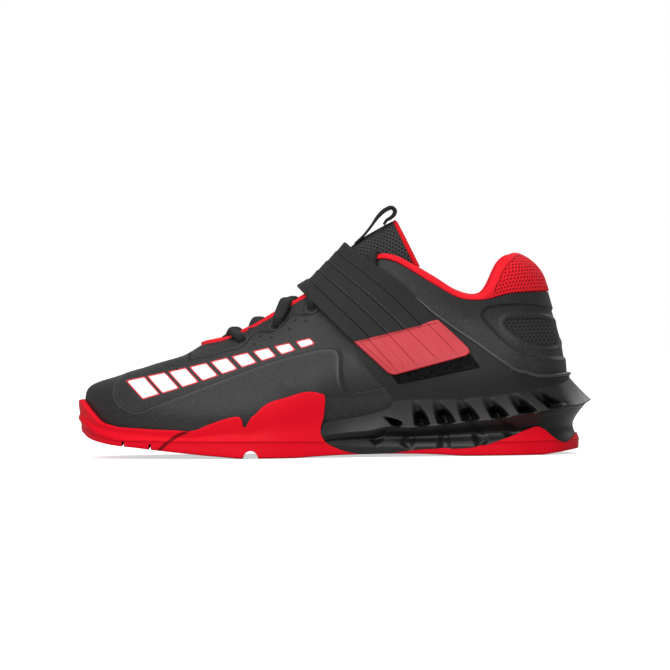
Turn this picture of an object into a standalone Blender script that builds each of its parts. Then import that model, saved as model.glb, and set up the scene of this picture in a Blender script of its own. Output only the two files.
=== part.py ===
"""A low weightlifting shoe for the left foot, raised at the heel, with a strap over the instep.

Metres. The toe points to -X, the outer side of the foot to -Y, and the ground is z = 0.
Table lengths are shares: x of LENGTH from the toe, y of BALL_WIDTH, z of HEIGHT.
"""

import bpy
import bmesh
import numpy as np
from mathutils import Vector
from mathutils.bvhtree import BVHTree

LENGTH = 0.300
BALL_WIDTH = 0.1035
HEIGHT = 0.1185
WALL = 0.0020
GAP = 0.0003
RAND_THICK = 0.0022
PLATE_THICK = 0.0014
EYESTAY_STEP = 0.0006
LINING_PAD = 0.0042
INSOLE_THICK = 0.0040
TONGUE_THICK = 0.0050
STRAP_THICK = 0.0020
PATCH_THICK = 0.0012
TAB_THICK = 0.0020
LACE_WIDTH = 0.0066
LACE_THICK = 0.0018
LACE_LIFT = 0.0011
SLOT_FLOOR = 0.0009
LOOP_THICK = 0.0015
LOOP_WIDTH = 0.0160

HALF = 40
COUNT = 2 * HALF
TURN = 28.0

# q around from the toe to the heel, x, outer y, inner y, inset of the upper's foot
PLAN = (
    (0.00, 0.0000, 0.0966, 0.0966, 0.0483),
    (1.00, 0.0150, -0.0773, 0.2609, 0.0483),
    (2.00, 0.0567, -0.2512, 0.3913, 0.0483),
    (3.00, 0.1267, -0.3720, 0.4686, 0.0464),
    (4.00, 0.2067, -0.4493, 0.5072, 0.0435),
    (5.00, 0.2900, -0.4879, 0.5121, 0.0435),
    (6.00, 0.3733, -0.4879, 0.4831, 0.0415),
    (7.00, 0.4567, -0.4444, 0.4155, 0.0386),
    (8.00, 0.5400, -0.4010, 0.3527, 0.0386),
    (9.00, 0.6233, -0.3768, 0.3333, 0.0386),
    (10.00, 0.7067, -0.3768, 0.3478, 0.0406),
    (11.00, 0.7900, -0.3816, 0.3671, 0.0444),
    (12.00, 0.8700, -0.3575, 0.3527, 0.0531),
    (13.00, 0.9433, -0.2415, 0.2464, 0.0676),
    (14.00, 0.9767, 0.0000, 0.0000, 0.0870),
)
# q, x, outer y, inner y, z of the upper's edge, rise and forward lean of the collar above it
TOPLINE = (
    (0.00, 0.2387, 0.0386, 0.0386, 0.5654, 0.0000, 0.0000),
    (1.00, 0.2407, -0.0097, 0.0870, 0.5671, 0.0000, 0.0000),
    (2.00, 0.2483, -0.0580, 0.1353, 0.5722, 0.0000, 0.0000),
    (3.00, 0.2633, -0.0966, 0.1643, 0.5789, 0.0000, 0.0000),
    (4.00, 0.2900, -0.1256, 0.1884, 0.5949, 0.0000, 0.0000),
    (5.00, 0.3300, -0.1401, 0.2029, 0.6371, 0.0000, 0.0000),
    (6.00, 0.3767, -0.1546, 0.2126, 0.7004, 0.0000, 0.0000),
    (6.80, 0.4367, -0.1739, 0.2271, 0.7882, 0.0000, 0.0000),
    (7.60, 0.5067, -0.2077, 0.2415, 0.8793, 0.0200, 0.0000),
    (8.30, 0.5667, -0.2464, 0.2657, 0.9519, 0.0295, 0.0000),
    (8.65, 0.5933, -0.2686, 0.2754, 0.9705, 0.0295, 0.0000),
    (9.00, 0.6200, -0.2850, 0.2899, 0.9553, 0.0321, 0.0000),
    (9.40, 0.6533, -0.2995, 0.3043, 0.9072, 0.0338, 0.0000),
    (9.90, 0.6967, -0.3188, 0.3188, 0.8388, 0.0338, 0.0000),
    (10.40, 0.7400, -0.3237, 0.3237, 0.7781, 0.0253, 0.0000),
    (11.00, 0.7867, -0.3188, 0.3188, 0.7646, 0.0270, 0.0000),
    (11.70, 0.8400, -0.2802, 0.2802, 0.7932, 0.1519, 0.0422),
    (12.60, 0.8867, -0.1932, 0.1932, 0.8017, 0.1899, 0.0844),
    (14.00, 0.9183, 0.0000, 0.0000, 0.8000, 0.2025, 0.1224),
)
# share of the way up the wall's rows, then the way in and the way up at each station
WAY = (
    (0.0, 0.000, 0.000, 0.00, 0.000, 0.00, 0.000, 0.00, 0.000, 0.00, 0.000),
    (0.1, 0.000, 0.163, 0.01, 0.130, 0.01, 0.120, 0.05, 0.110, 0.02, 0.110),
    (0.2, 0.000, 0.306, 0.02, 0.250, 0.03, 0.230, 0.12, 0.220, 0.06, 0.220),
    (0.3, 0.001, 0.412, 0.06, 0.370, 0.08, 0.340, 0.22, 0.320, 0.12, 0.320),
    (0.4, 0.022, 0.482, 0.13, 0.480, 0.15, 0.450, 0.34, 0.420, 0.20, 0.420),
    (0.5, 0.092, 0.537, 0.22, 0.585, 0.25, 0.550, 0.47, 0.520, 0.31, 0.520),
    (0.6, 0.225, 0.592, 0.34, 0.680, 0.37, 0.650, 0.60, 0.620, 0.44, 0.620),
    (0.7, 0.405, 0.667, 0.49, 0.770, 0.51, 0.745, 0.73, 0.715, 0.58, 0.715),
    (0.8, 0.600, 0.751, 0.65, 0.850, 0.66, 0.835, 0.85, 0.810, 0.73, 0.810),
    (0.9, 0.803, 0.843, 0.82, 0.930, 0.82, 0.920, 0.94, 0.905, 0.87, 0.905),
    (1.0, 1.000, 1.000, 1.00, 1.000, 1.00, 1.000, 1.00, 1.000, 1.00, 1.000),
)
STATIONS = (0.0, 4.5, 7.5, 10.5, 14.0)
# share of the way up the wall's rows, then the swell outwards at each station
SWELL = (
    (0.0, 0.000, 0.000, 0.000, 0.000, 0.000),
    (0.1, 0.014, 0.018, 0.020, 0.016, 0.012),
    (0.2, 0.020, 0.029, 0.034, 0.028, 0.022),
    (0.3, 0.014, 0.031, 0.040, 0.034, 0.028),
    (0.4, 0.006, 0.029, 0.038, 0.028, 0.030),
    (0.5, 0.001, 0.025, 0.032, 0.014, 0.028),
    (0.6, 0.000, 0.019, 0.024, -0.004, 0.024),
    (0.7, 0.000, 0.013, 0.017, -0.018, 0.018),
    (0.8, 0.000, 0.008, 0.011, -0.022, 0.012),
    (0.9, 0.000, 0.004, 0.005, -0.014, 0.006),
    (1.0, 0.000, 0.000, 0.000, 0.000, 0.000),
)
# the rows of the upper's wall, shared by every piece that lies against it
LEVELS = (0.0, 0.12, 0.24, 0.36, 0.48, 0.60, 0.72, 0.84, 0.86, 1.0)
# x, z of the tread
GROUND = (
    (0.0000, 0.1392),
    (0.0117, 0.1224),
    (0.0200, 0.1030),
    (0.0333, 0.0869),
    (0.0547, 0.0726),
    (0.1133, 0.0540),
    (0.1600, 0.0397),
    (0.2067, 0.0270),
    (0.2433, 0.0169),
    (0.2767, 0.0093),
    (0.3133, 0.0000),
    (0.4200, 0.0000),
    (0.4533, 0.0051),
    (0.4933, 0.0101),
    (0.5500, 0.0135),
    (0.6833, 0.0101),
    (0.7533, 0.0000),
    (0.9000, 0.0000),
    (0.9733, 0.0228),
    (1.0000, 0.0270),
)
# x, z of the floor that the upper and the insole stand on
FLOOR = (
    (0.0000, 0.1603),
    (0.0500, 0.1308),
    (0.1333, 0.1055),
    (0.2333, 0.0895),
    (0.3167, 0.0878),
    (0.4000, 0.1097),
    (0.4733, 0.1435),
    (0.5667, 0.1857),
    (0.6667, 0.2152),
    (0.7667, 0.2278),
    (1.0000, 0.2321),
)
# x, z of the top of the red wall
RIM = (
    (0.0039, 0.2807),
    (0.0196, 0.2307),
    (0.0362, 0.1833),
    (0.0586, 0.1619),
    (0.1134, 0.1466),
    (0.1789, 0.1384),
    (0.2248, 0.1372),
    (0.2542, 0.1651),
    (0.3030, 0.2008),
    (0.3402, 0.2040),
    (0.3597, 0.2484),
    (0.4066, 0.2922),
    (0.4516, 0.3182),
    (0.4731, 0.3078),
    (0.5024, 0.2773),
    (1.0000, 0.2773),
)
# side view: x, z of the notch in the top of the red wall
NOTCH = (
    (0.3110, 0.2150),
    (0.3190, 0.1900),
    (0.3225, 0.1560),
    (0.3255, 0.1560),
    (0.3300, 0.1760),
    (0.3400, 0.2150),
)
# x, z of the step along the red wall
RIDGE = (
    (0.0000, 0.1772),
    (0.0133, 0.1392),
    (0.0333, 0.1165),
    (0.0600, 0.1004),
    (0.1333, 0.0911),
    (0.2667, 0.0869),
    (0.4933, 0.0793),
    (0.6000, 0.0717),
    (1.0000, 0.0717),
)
# x, z of the sharp edge around the heel
FLARE = (
    (0.4340, 0.1009),
    (0.4731, 0.1098),
    (0.5259, 0.1232),
    (0.5689, 0.1320),
    (0.6051, 0.1508),
    (0.6354, 0.1466),
    (0.6764, 0.1524),
    (0.7331, 0.1643),
    (0.7761, 0.1770),
    (0.8211, 0.1847),
    (0.8485, 0.1988),
    (0.8876, 0.2097),
    (0.9208, 0.2236),
    (0.9540, 0.2371),
    (0.9834, 0.2472),
    (0.9990, 0.2641),
)
# q, offsets of the heel frame's low foot, neck and sharp edge from the plan
FRAME_RING = (
    (0.0, -0.020, -0.020, -0.015),
    (6.0, -0.020, -0.020, -0.015),
    (7.5, -0.010, -0.014, 0.004),
    (9.0, -0.004, -0.026, 0.030),
    (11.0, -0.002, -0.032, 0.040),
    (13.0, -0.002, -0.034, 0.052),
    (14.0, -0.002, -0.036, 0.066),
)
# side view: x, z of each hollow in the heel frame's side, half length, half width, tilt in degrees
HOLLOWS = (
    (0.5963, 0.1731, 0.0420, 0.0150, 84.0),
    (0.6618, 0.2010, 0.0480, 0.0300, 14.0),
    (0.7067, 0.2090, 0.0620, 0.0380, 22.0),
    (0.7507, 0.2230, 0.0600, 0.0380, 32.0),
    (0.8016, 0.2420, 0.0680, 0.0350, 40.0),
    (0.8573, 0.2603, 0.0800, 0.0310, 54.0),
    (0.9082, 0.2738, 0.0860, 0.0240, 70.0),
    (0.5963, 0.1038, 0.0440, 0.0200, 84.0),
    (0.6530, 0.0948, 0.0370, 0.0220, 12.0),
    (0.7165, 0.0907, 0.0460, 0.0230, 16.0),
    (0.7781, 0.1138, 0.0520, 0.0290, 32.0),
    (0.8358, 0.1395, 0.0520, 0.0290, 42.0),
)
# side view: x, z of the cut between the red sole and the heel frame, from the front
SOLE_CUT = (
    (0.4741, 0.4770),
    (0.4803, 0.2779),
    (0.4770, 0.2037),
    (0.4712, 0.1247),
    (0.4809, 0.0749),
    (0.4985, 0.0497),
    (0.6882, 0.0397),
    (0.7664, 0.0456),
    (0.7996, 0.0615),
    (0.8426, 0.0970),
    (0.8758, 0.1298),
    (0.8915, 0.1403),
    (0.9052, 0.1260),
    (0.9208, 0.0920),
    (0.9364, 0.0663),
    (0.9501, 0.0625),
    (0.9599, 0.0771),
    (0.9658, 0.0937),
    (1.0205, 0.1010),
)
# side view: x, z of the heel frame's upper outline, from its low front edge round to the heel
FRAME_TOP = (
    (0.4770, 0.1671),
    (0.5083, 0.1831),
    (0.5454, 0.1955),
    (0.5806, 0.2158),
    (0.6002, 0.2331),
    (0.6119, 0.2595),
    (0.6139, 0.2892),
    (0.6080, 0.3161),
    (0.5963, 0.3490),
    (0.5806, 0.3891),
    (0.5630, 0.4464),
    (0.5454, 0.5088),
    (0.5337, 0.5635),
    (0.6295, 0.7738),
    (0.6491, 0.7847),
    (0.6588, 0.7745),
    (0.6882, 0.7129),
    (0.7273, 0.6376),
    (0.7800, 0.5436),
    (0.8309, 0.4502),
    (0.8543, 0.4135),
    (0.8700, 0.4061),
    (0.8837, 0.3929),
    (0.9091, 0.3868),
    (0.9423, 0.3918),
    (1.0205, 0.3939),
)
# side view: x, z of the red end of the strap and of the patch under it
TAB = (
    (0.5337, 0.5635),
    (0.6021, 0.4108),
    (0.6139, 0.4030),
    (0.7546, 0.4834),
    (0.7625, 0.4981),
    (0.7585, 0.5180),
    (0.6999, 0.6650),
)
PATCH = (
    (0.5904, 0.4630),
    (0.6100, 0.3982),
    (0.6217, 0.3583),
    (0.7820, 0.4332),
    (0.7644, 0.4881),
    (0.7429, 0.5481),
)
# q, x, z of the tongue's outer face on its middle line, half width and drop of its sides
TONGUE = (
    (0.0, 0.1867, 0.4304, 0.200, 0.030),
    (1.0, 0.2400, 0.5063, 0.215, 0.030),
    (2.0, 0.2833, 0.5485, 0.225, 0.035),
    (3.0, 0.3300, 0.5992, 0.230, 0.045),
    (4.0, 0.3767, 0.6666, 0.230, 0.060),
    (5.0, 0.4280, 0.7610, 0.230, 0.085),
    (6.0, 0.4600, 0.8397, 0.228, 0.105),
    (7.0, 0.4833, 0.9008, 0.226, 0.125),
    (8.0, 0.5067, 0.9590, 0.222, 0.140),
    (9.0, 0.5333, 1.0190, 0.211, 0.155),
    (10.0, 0.5600, 1.0660, 0.204, 0.165),
    (11.0, 0.5967, 1.1240, 0.202, 0.170),
    (12.0, 0.6200, 1.1520, 0.196, 0.165),
)
# x of each lace bar at the middle, then x and z of the holes that it ends at
LACES = (
    (0.2930, 0.3187, 0.5742),
    (0.4080, 0.3851, 0.6467),
    (0.4380, 0.4555, 0.7339),
)
# side view: x, z along the pull loop
PULL = (
    (0.5430, 1.0510),
    (0.5560, 1.0740),
    (0.5690, 1.1010),
    (0.5800, 1.1400),
    (0.5924, 1.1900),
    (0.6060, 1.2190),
    (0.6190, 1.2240),
    (0.6270, 1.2060),
    (0.6260, 1.1760),
)


def spline(knots, values, at):
    """Smooth curve through the values, its slope at a knot taken from both neighbours."""
    knots = np.asarray(knots, float)
    values = np.asarray(values, float)
    at = np.clip(at, knots[0], knots[-1])
    slope = np.gradient(values, knots)
    place = np.clip(np.searchsorted(knots, at, side="right") - 1, 0, len(knots) - 2)
    step = knots[place + 1] - knots[place]
    t = (at - knots[place]) / step
    start = values[place] * (2 * t**3 - 3 * t**2 + 1) + slope[place] * step * (t**3 - 2 * t**2 + t)
    end = values[place + 1] * (3 * t**2 - 2 * t**3) + slope[place + 1] * step * (t**3 - t**2)
    return start + end


def column(table, number):
    return np.array([row[number] for row in table])


def around(table, outer, inner, at):
    """One column read round the whole shoe: the outer side to the heel, then the inner side back."""
    q = column(table, 0)
    there = column(table, outer)
    back = column(table, inner)
    knots = np.concatenate([q, TURN - q[-2::-1]])
    values = np.concatenate([there, back[-2::-1]])
    knots = np.concatenate([knots[-3:-1] - TURN, knots, knots[1:3] + TURN])
    values = np.concatenate([values[-3:-1], values, values[1:3]])
    return spline(knots, values, at)


def height_at(table, x):
    """A height table read at places along the shoe, in metres."""
    return HEIGHT * spline(LENGTH * column(table, 0), column(table, 1), x)


def plan(at):
    """Edge of the sole from above, and its outward direction."""
    x = LENGTH * around(PLAN, 1, 1, at)
    y = BALL_WIDTH * around(PLAN, 2, 3, at)
    points = np.stack([x, y], axis=1)
    along = np.roll(points, -1, axis=0) - np.roll(points, 1, axis=0)
    along /= np.linalg.norm(along, axis=1)[:, None]
    return points, np.stack([along[:, 1], -along[:, 0]], axis=1)


def upper_rows(levels, at):
    """The upper's outer face at the given shares of the way up: rows x columns x 3."""
    edge, outward = plan(at)
    inset = BALL_WIDTH * around(PLAN, 4, 4, at)
    foot = edge - outward * inset[:, None]
    low = height_at(FLOOR, foot[:, 0]) + GAP
    top_x = LENGTH * around(TOPLINE, 1, 1, at)
    top_y = BALL_WIDTH * around(TOPLINE, 2, 3, at)
    top_z = HEIGHT * around(TOPLINE, 4, 4, at)
    station = np.minimum(at, TURN - at)
    marks = column(WAY, 0)
    rows = []
    for level in levels:
        inwards = [float(spline(marks, column(WAY, 1 + 2 * n), level)) for n in range(5)]
        upwards = [float(spline(marks, column(WAY, 2 + 2 * n), level)) for n in range(5)]
        swells = [float(spline(marks, column(SWELL, 1 + n), level)) for n in range(5)]
        way_in = np.interp(station, STATIONS, inwards)
        way_up = np.interp(station, STATIONS, upwards)
        swell = BALL_WIDTH * np.interp(station, STATIONS, swells)
        x = foot[:, 0] + (top_x - foot[:, 0]) * way_in + outward[:, 0] * swell
        y = foot[:, 1] + (top_y - foot[:, 1]) * way_in + outward[:, 1] * swell
        z = low + (top_z - low) * way_up
        rows.append(np.stack([x, y, z], axis=1))
    return np.array(rows)


def normals_of(rows):
    """Outward direction at each point of a grid that runs up and then round."""
    up = np.gradient(rows, axis=0)
    round_ = np.roll(rows, -1, axis=1) - np.roll(rows, 1, axis=1)
    normal = np.cross(round_, up)
    return normal / np.linalg.norm(normal, axis=2)[:, :, None]


def columns_at(count):
    return TURN * np.arange(count) / count


AT = columns_at(COUNT)
MIDDLE_Y = 0.5 * (plan(AT)[0][:, 1].min() + plan(AT)[0][:, 1].max())
FINE = np.linspace(0, 1, 41)
FINE_ROWS = upper_rows(FINE, AT)
FINE_NORMALS = normals_of(FINE_ROWS)


def upper_at(levels, offset):
    """Points at a level of its own for each column, moved outwards by the offset."""
    levels = np.broadcast_to(levels, (COUNT,))
    place = np.clip(levels, 0, 1) * (len(FINE) - 1)
    low = np.minimum(place.astype(int), len(FINE) - 2)
    part = (place - low)[:, None]
    each = np.arange(COUNT)
    point = FINE_ROWS[low, each] * (1 - part) + FINE_ROWS[low + 1, each] * part
    normal = FINE_NORMALS[low, each] * (1 - part) + FINE_NORMALS[low + 1, each] * part
    normal /= np.linalg.norm(normal, axis=1)[:, None]
    return point + normal * offset


def level_of_height(z):
    """The level at which each column of the upper reaches a height."""
    return np.array([np.interp(z[n], FINE_ROWS[:, n, 2], FINE) for n in range(COUNT)])


def shifted(points):
    """From lengths measured from the toe to a frame with its origin under the middle of the shoe."""
    moved = np.array(points, float).reshape(-1, 3)
    moved[:, 0] -= LENGTH / 2
    moved[:, 1] -= MIDDLE_Y
    return moved


def outline(table):
    return [(LENGTH * x, HEIGHT * z) for x, z in table]


def add_object(name, points, faces, collection):
    mesh = bpy.data.meshes.new(name)
    mesh.from_pydata([tuple(p) for p in shifted(points)], [], [tuple(f) for f in faces])
    build = bmesh.new()
    build.from_mesh(mesh)
    bmesh.ops.remove_doubles(build, verts=build.verts, dist=0.00002)
    bmesh.ops.recalc_face_normals(build, faces=build.faces)
    if build.calc_volume(signed=True) < 0:
        bmesh.ops.reverse_faces(build, faces=build.faces)
    build.to_mesh(mesh)
    build.free()
    made = bpy.data.objects.new(name, mesh)
    collection.objects.link(made)
    return made


def ring_solid(name, rows, collection):
    """Closed rows joined one to the next, the first and the last closed across the shoe."""
    rows = np.array(rows)
    faces = []
    for r in range(len(rows) - 1):
        for c in range(COUNT):
            d = (c + 1) % COUNT
            faces.append((r * COUNT + c, r * COUNT + d, (r + 1) * COUNT + d, (r + 1) * COUNT + c))
    for start in (0, (len(rows) - 1) * COUNT):
        for c in range(HALF):
            far = (COUNT - c) % COUNT
            near = COUNT - c - 1
            corners = [start + c, start + c + 1, start + near, start + far]
            faces.append(tuple(dict.fromkeys(corners)))
    return add_object(name, rows, faces, collection)


def tube_solid(name, sections, collection):
    """Sections of one point count, each a closed outline, joined and closed at both ends."""
    sections = np.array(sections)
    count, size = sections.shape[:2]
    faces = []
    for s in range(count - 1):
        for p in range(size):
            r = (p + 1) % size
            faces.append((s * size + p, s * size + r, (s + 1) * size + r, (s + 1) * size + p))
    faces.append(tuple(range(size)))
    faces.append(tuple((count - 1) * size + p for p in range(size)))
    return add_object(name, sections, faces, collection)


def shell_solid(name, inner, outer, collection):
    """Two grids of the same size, one over the other, closed along their four edges."""
    height, width = inner.shape[:2]
    points = np.concatenate([inner.reshape(-1, 3), outer.reshape(-1, 3)])
    half = height * width
    faces = []
    for r in range(height - 1):
        for c in range(width - 1):
            a = r * width + c
            faces.append((a, a + 1, a + width + 1, a + width))
            faces.append((half + a, half + a + width, half + a + width + 1, half + a + 1))
    rim = [c for c in range(width)]
    rim += [r * width + width - 1 for r in range(1, height)]
    rim += [(height - 1) * width + c for c in range(width - 2, -1, -1)]
    rim += [r * width for r in range(height - 2, 0, -1)]
    for n, a in enumerate(rim):
        b = rim[(n + 1) % len(rim)]
        faces.append((a, half + a, half + b, b))
    return add_object(name, points, faces, collection)


def prism(name, corners, low_y, high_y, collection):
    """A side view outline carried across the shoe."""
    count = len(corners)
    points = [(x, low_y, z) for x, z in corners] + [(x, high_y, z) for x, z in corners]
    faces = [tuple(range(count)), tuple(range(2 * count - 1, count - 1, -1))]
    for n in range(count):
        m = (n + 1) % count
        faces.append((n, m, count + m, count + n))
    made = add_object(name, points, faces, collection)
    made.hide_render = True
    made.display_type = "WIRE"
    return made


def grown(corners, distance):
    """A closed side view outline moved outwards, or inwards where the distance is negative."""
    points = np.array(corners)
    ahead = np.roll(points, -1, axis=0) - points
    behind = points - np.roll(points, 1, axis=0)
    ahead /= np.linalg.norm(ahead, axis=1)[:, None]
    behind /= np.linalg.norm(behind, axis=1)[:, None]
    area = np.sum(points[:, 0] * np.roll(points[:, 1], -1) - np.roll(points[:, 0], -1) * points[:, 1])
    side = 1.0 if area > 0 else -1.0
    first = np.stack([ahead[:, 1], -ahead[:, 0]], axis=1)
    second = np.stack([behind[:, 1], -behind[:, 0]], axis=1)
    mitre = first + second
    mitre /= np.maximum(1.0 + np.sum(first * second, axis=1), 0.5)[:, None]
    return [tuple(p) for p in points + side * distance * mitre]


def cut(target, cutter, operation):
    step = target.modifiers.new(cutter.name, "BOOLEAN")
    step.operation = operation
    step.solver = "EXACT"
    step.object = cutter


def frame_outline():
    return outline(SOLE_CUT)[3:] + outline(FRAME_TOP)[::-1]


def build_outsole(parts, cutters):
    """Red sole: tread, stepped side, and a thin wall that holds the upper, cut low under the heel."""
    edge, outward = plan(AT)
    rim_level = level_of_height(height_at(RIM, edge[:, 0]))
    foot = upper_at(0.0, GAP)
    foot[:, 2] = height_at(FLOOR, foot[:, 0])
    tread = edge - outward * 0.028 * BALL_WIDTH
    side = edge - outward * 0.004 * BALL_WIDTH
    ridge_z = height_at(RIDGE, edge[:, 0])
    low_z = np.maximum(height_at(GROUND, tread[:, 0]), 0.0)
    base = np.column_stack([tread, low_z])
    lip = np.column_stack([side, low_z + 0.25 * (ridge_z - low_z)])
    ridge = np.column_stack([edge, ridge_z])
    top = upper_at(rim_level, GAP + RAND_THICK)
    mid = 0.5 * (ridge + upper_at(0.5 * rim_level, GAP + RAND_THICK))
    mid[:, :2] -= outward * 0.006 * BALL_WIDTH
    rows = [base, lip, ridge, mid, top]
    for level in LEVELS[4:0:-1]:
        rows.append(upper_at(np.minimum(level, rim_level), GAP))
    rows.append(foot)
    sole = ring_solid("outsole", rows, parts)
    corners = outline(SOLE_CUT)
    roof = 0.9 * HEIGHT
    corners = corners + [(corners[-1][0], roof), (corners[0][0], roof)]
    cutter = prism("sole_cutter", corners, -BALL_WIDTH, BALL_WIDTH, cutters)
    cut(sole, cutter, "DIFFERENCE")
    notch = prism("notch_cutter", outline(NOTCH), -BALL_WIDTH, BALL_WIDTH, cutters)
    cut(sole, notch, "DIFFERENCE")
    return sole


def frame_rows():
    edge, outward = plan(AT)
    station = np.minimum(AT, TURN - AT)
    marks = column(FRAME_RING, 0)
    offsets = [BALL_WIDTH * spline(marks, column(FRAME_RING, n), station) for n in range(1, 4)]
    flare_z = height_at(FLARE, edge[:, 0] + outward[:, 0] * offsets[2])
    rings = [edge + outward * d[:, None] for d in offsets]
    low = np.column_stack([rings[0], np.full(COUNT, 0.012 * HEIGHT)])
    foot = np.column_stack([rings[0], np.full(COUNT, 0.060 * HEIGHT)])
    neck = np.column_stack([rings[1], 0.45 * flare_z + 0.030 * HEIGHT])
    under = np.column_stack([0.3 * rings[1] + 0.7 * rings[2], flare_z - 0.022 * HEIGHT])
    flare = np.column_stack([rings[2], flare_z])
    wall_level = level_of_height(flare_z + 0.11 * HEIGHT)
    wall_level = np.maximum(wall_level, 0.08)
    out = GAP + PLATE_THICK
    wall_foot = upper_at(wall_level, out)
    shoulder = 0.55 * flare + 0.45 * wall_foot
    shoulder[:, 2] -= 0.004 * HEIGHT
    rows = [low, foot, neck, under, flare, shoulder, wall_foot]
    for level in LEVELS[3:]:
        rows.append(upper_at(np.maximum(level, wall_level), out))
    for level in LEVELS[:0:-1]:
        rows.append(upper_at(level, GAP))
    inside = upper_at(0.0, GAP)
    inside[:, 2] = height_at(FLOOR, inside[:, 0])
    rows.append(inside)
    return rows


def slot(place, points=10):
    """Side view outline of one hollow: a long rounded oval, tilted forwards at its top."""
    x, z, long, wide, tilt = place
    turn = np.radians(tilt)
    corners = []
    for n in range(points):
        angle = 2 * np.pi * (n + 0.5) / points
        a = HEIGHT * long * np.sign(np.cos(angle)) * abs(np.cos(angle)) ** 0.8
        b = HEIGHT * wide * np.sign(np.sin(angle)) * abs(np.sin(angle)) ** 0.8
        corners.append((
            LENGTH * x - a * np.sin(turn) + b * np.cos(turn),
            HEIGHT * z + a * np.cos(turn) + b * np.sin(turn),
        ))
    return corners


def build_hollows(cutters):
    """The hollows of the frame's two sides: ovals that stop short of the upper."""
    columns = [n for n in range(COUNT) if 7.0 < AT[n] < 14.0]
    made = []
    for side in (-1.0, 1.0):
        chosen = columns if side < 0 else [COUNT - n for n in columns]
        deep = upper_at(0.0, -0.035 * BALL_WIDTH)[chosen]
        deep[:, 2] = 0.02 * HEIGHT
        near = upper_at(0.0, -0.035 * BALL_WIDTH)[chosen]
        near[:, 2] -= 0.034 * HEIGHT
        under = upper_at(0.0, GAP + SLOT_FLOOR)[chosen]
        under[:, 2] -= 0.016 * HEIGHT
        rows = [deep, near, under]
        for level in (0.04, 0.12, 0.24, 0.36, 0.48):
            rows.append(upper_at(level, GAP + SLOT_FLOOR)[chosen])
        inner = np.array(rows)
        outer = inner.copy()
        outer[:, :, 1] += side * 0.30 * BALL_WIDTH
        block = shell_solid("hollow_block_%d" % (1 if side < 0 else 2), inner, outer, cutters)
        block.hide_render = True
        block.display_type = "WIRE"
        low_y, high_y = sorted((0.15 * side * BALL_WIDTH, 0.9 * side * BALL_WIDTH))
        for n, place in enumerate(HOLLOWS):
            shape = prism("hollow_%d_%d" % (1 if side < 0 else 2, n), slot(place), low_y, high_y, cutters)
            cut(shape, block, "INTERSECT")
            made.append(shape)
    return made


def build_heel_frame(parts, cutters):
    """Black platform under the heel with a flared edge and a thin wing up each side of the upper."""
    frame = ring_solid("heel_frame", frame_rows(), parts)
    cutter = prism("frame_outline", grown(frame_outline(), -GAP), -BALL_WIDTH, BALL_WIDTH, cutters)
    cut(frame, cutter, "INTERSECT")
    for hollow in build_hollows(cutters):
        cut(frame, hollow, "DIFFERENCE")
    return frame


def step_of(at, level):
    """Height of the raised eyestay above the wall, at a level."""
    station = np.minimum(at, TURN - at)
    along = np.clip((station - 1.5) / 0.5, 0, 1) * np.clip((8.7 - station) / 0.4, 0, 1)
    return EYESTAY_STEP * along * (level > 0.85)


def build_upper(parts):
    """The hollow upper, open at the throat, the collar and underneath."""
    outer = np.array([upper_at(v, step_of(AT, v)[:, None]) for v in LEVELS])
    inner = np.array([upper_at(v, -WALL) for v in LEVELS])
    rows = np.concatenate([outer, inner[::-1], outer[:1]])
    faces = []
    for r in range(len(rows) - 1):
        for c in range(COUNT):
            d = (c + 1) % COUNT
            faces.append((r * COUNT + c, r * COUNT + d, (r + 1) * COUNT + d, (r + 1) * COUNT + c))
    return add_object("upper", rows, faces, parts)


def build_insole(parts):
    """Insole on the floor of the shoe, inside the upper."""
    inside = -(WALL + 1.5 * GAP)
    low = upper_at(0.0, inside)
    low[:, 2] = height_at(FLOOR, low[:, 0]) + GAP
    level = level_of_height(low[:, 2] + INSOLE_THICK)
    high = upper_at(level, inside)
    return ring_solid("insole", [low, high], parts)


def build_collar(parts):
    """Padded red ring over the edge of the collar, raised into a tab at the heel."""
    rise = HEIGHT * around(TOPLINE, 5, 5, AT)
    rise = np.maximum(rise, 0.0)
    lean = HEIGHT * around(TOPLINE, 6, 6, AT)
    chosen = [n for n in range(COUNT) if rise[n] > 0.0026]
    top = upper_at(1.0, 0.0)
    below = upper_at(0.97, 0.0)
    up = top - below
    up /= np.linalg.norm(up, axis=1)[:, None]
    outward = upper_at(1.0, 1.0) - top
    sections = []
    station = np.minimum(AT, TURN - AT)
    for n in chosen:
        lining = WALL + GAP * np.interp(station[n], (8.4, 10.0), (4.0, 1.7))
        t = top[n]
        a = up[n]
        o = outward[n]
        r = rise[n]
        pad = LINING_PAD * np.interp(station[n], (8.4, 10.5), (0.15, 1.0))
        forward = np.array([-lean[n], 0.0, 0.0])
        deep = upper_at(LEVELS[6], -lining)[n]
        deep_in = upper_at(LEVELS[6] + 0.02, -lining - 0.5 * pad)[n]
        middle = upper_at(LEVELS[8], -lining)[n]
        middle_in = upper_at(LEVELS[8], -lining - pad)[n]
        beside = upper_at(LEVELS[7], -lining)[n]
        sections.append([
            t + a * GAP + o * 0.0002,
            t + a * (0.45 * r) + o * 0.0008 + forward * 0.12,
            t + a * (0.85 * r) - o * 0.0002 + forward * 0.60,
            t + a * r - o * 0.0022 + forward,
            t + a * (0.80 * r) - o * (0.0020 + 0.7 * pad) + forward * 0.95,
            t + a * (0.40 * r) - o * (lining + 0.9 * pad) + forward * 0.30,
            t - o * (lining + pad),
            middle_in,
            deep_in,
            deep,
            beside,
            middle,
            t - o * lining,
            t - o * lining + a * GAP,
        ])
    return tube_solid("collar", sections, parts)


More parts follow.
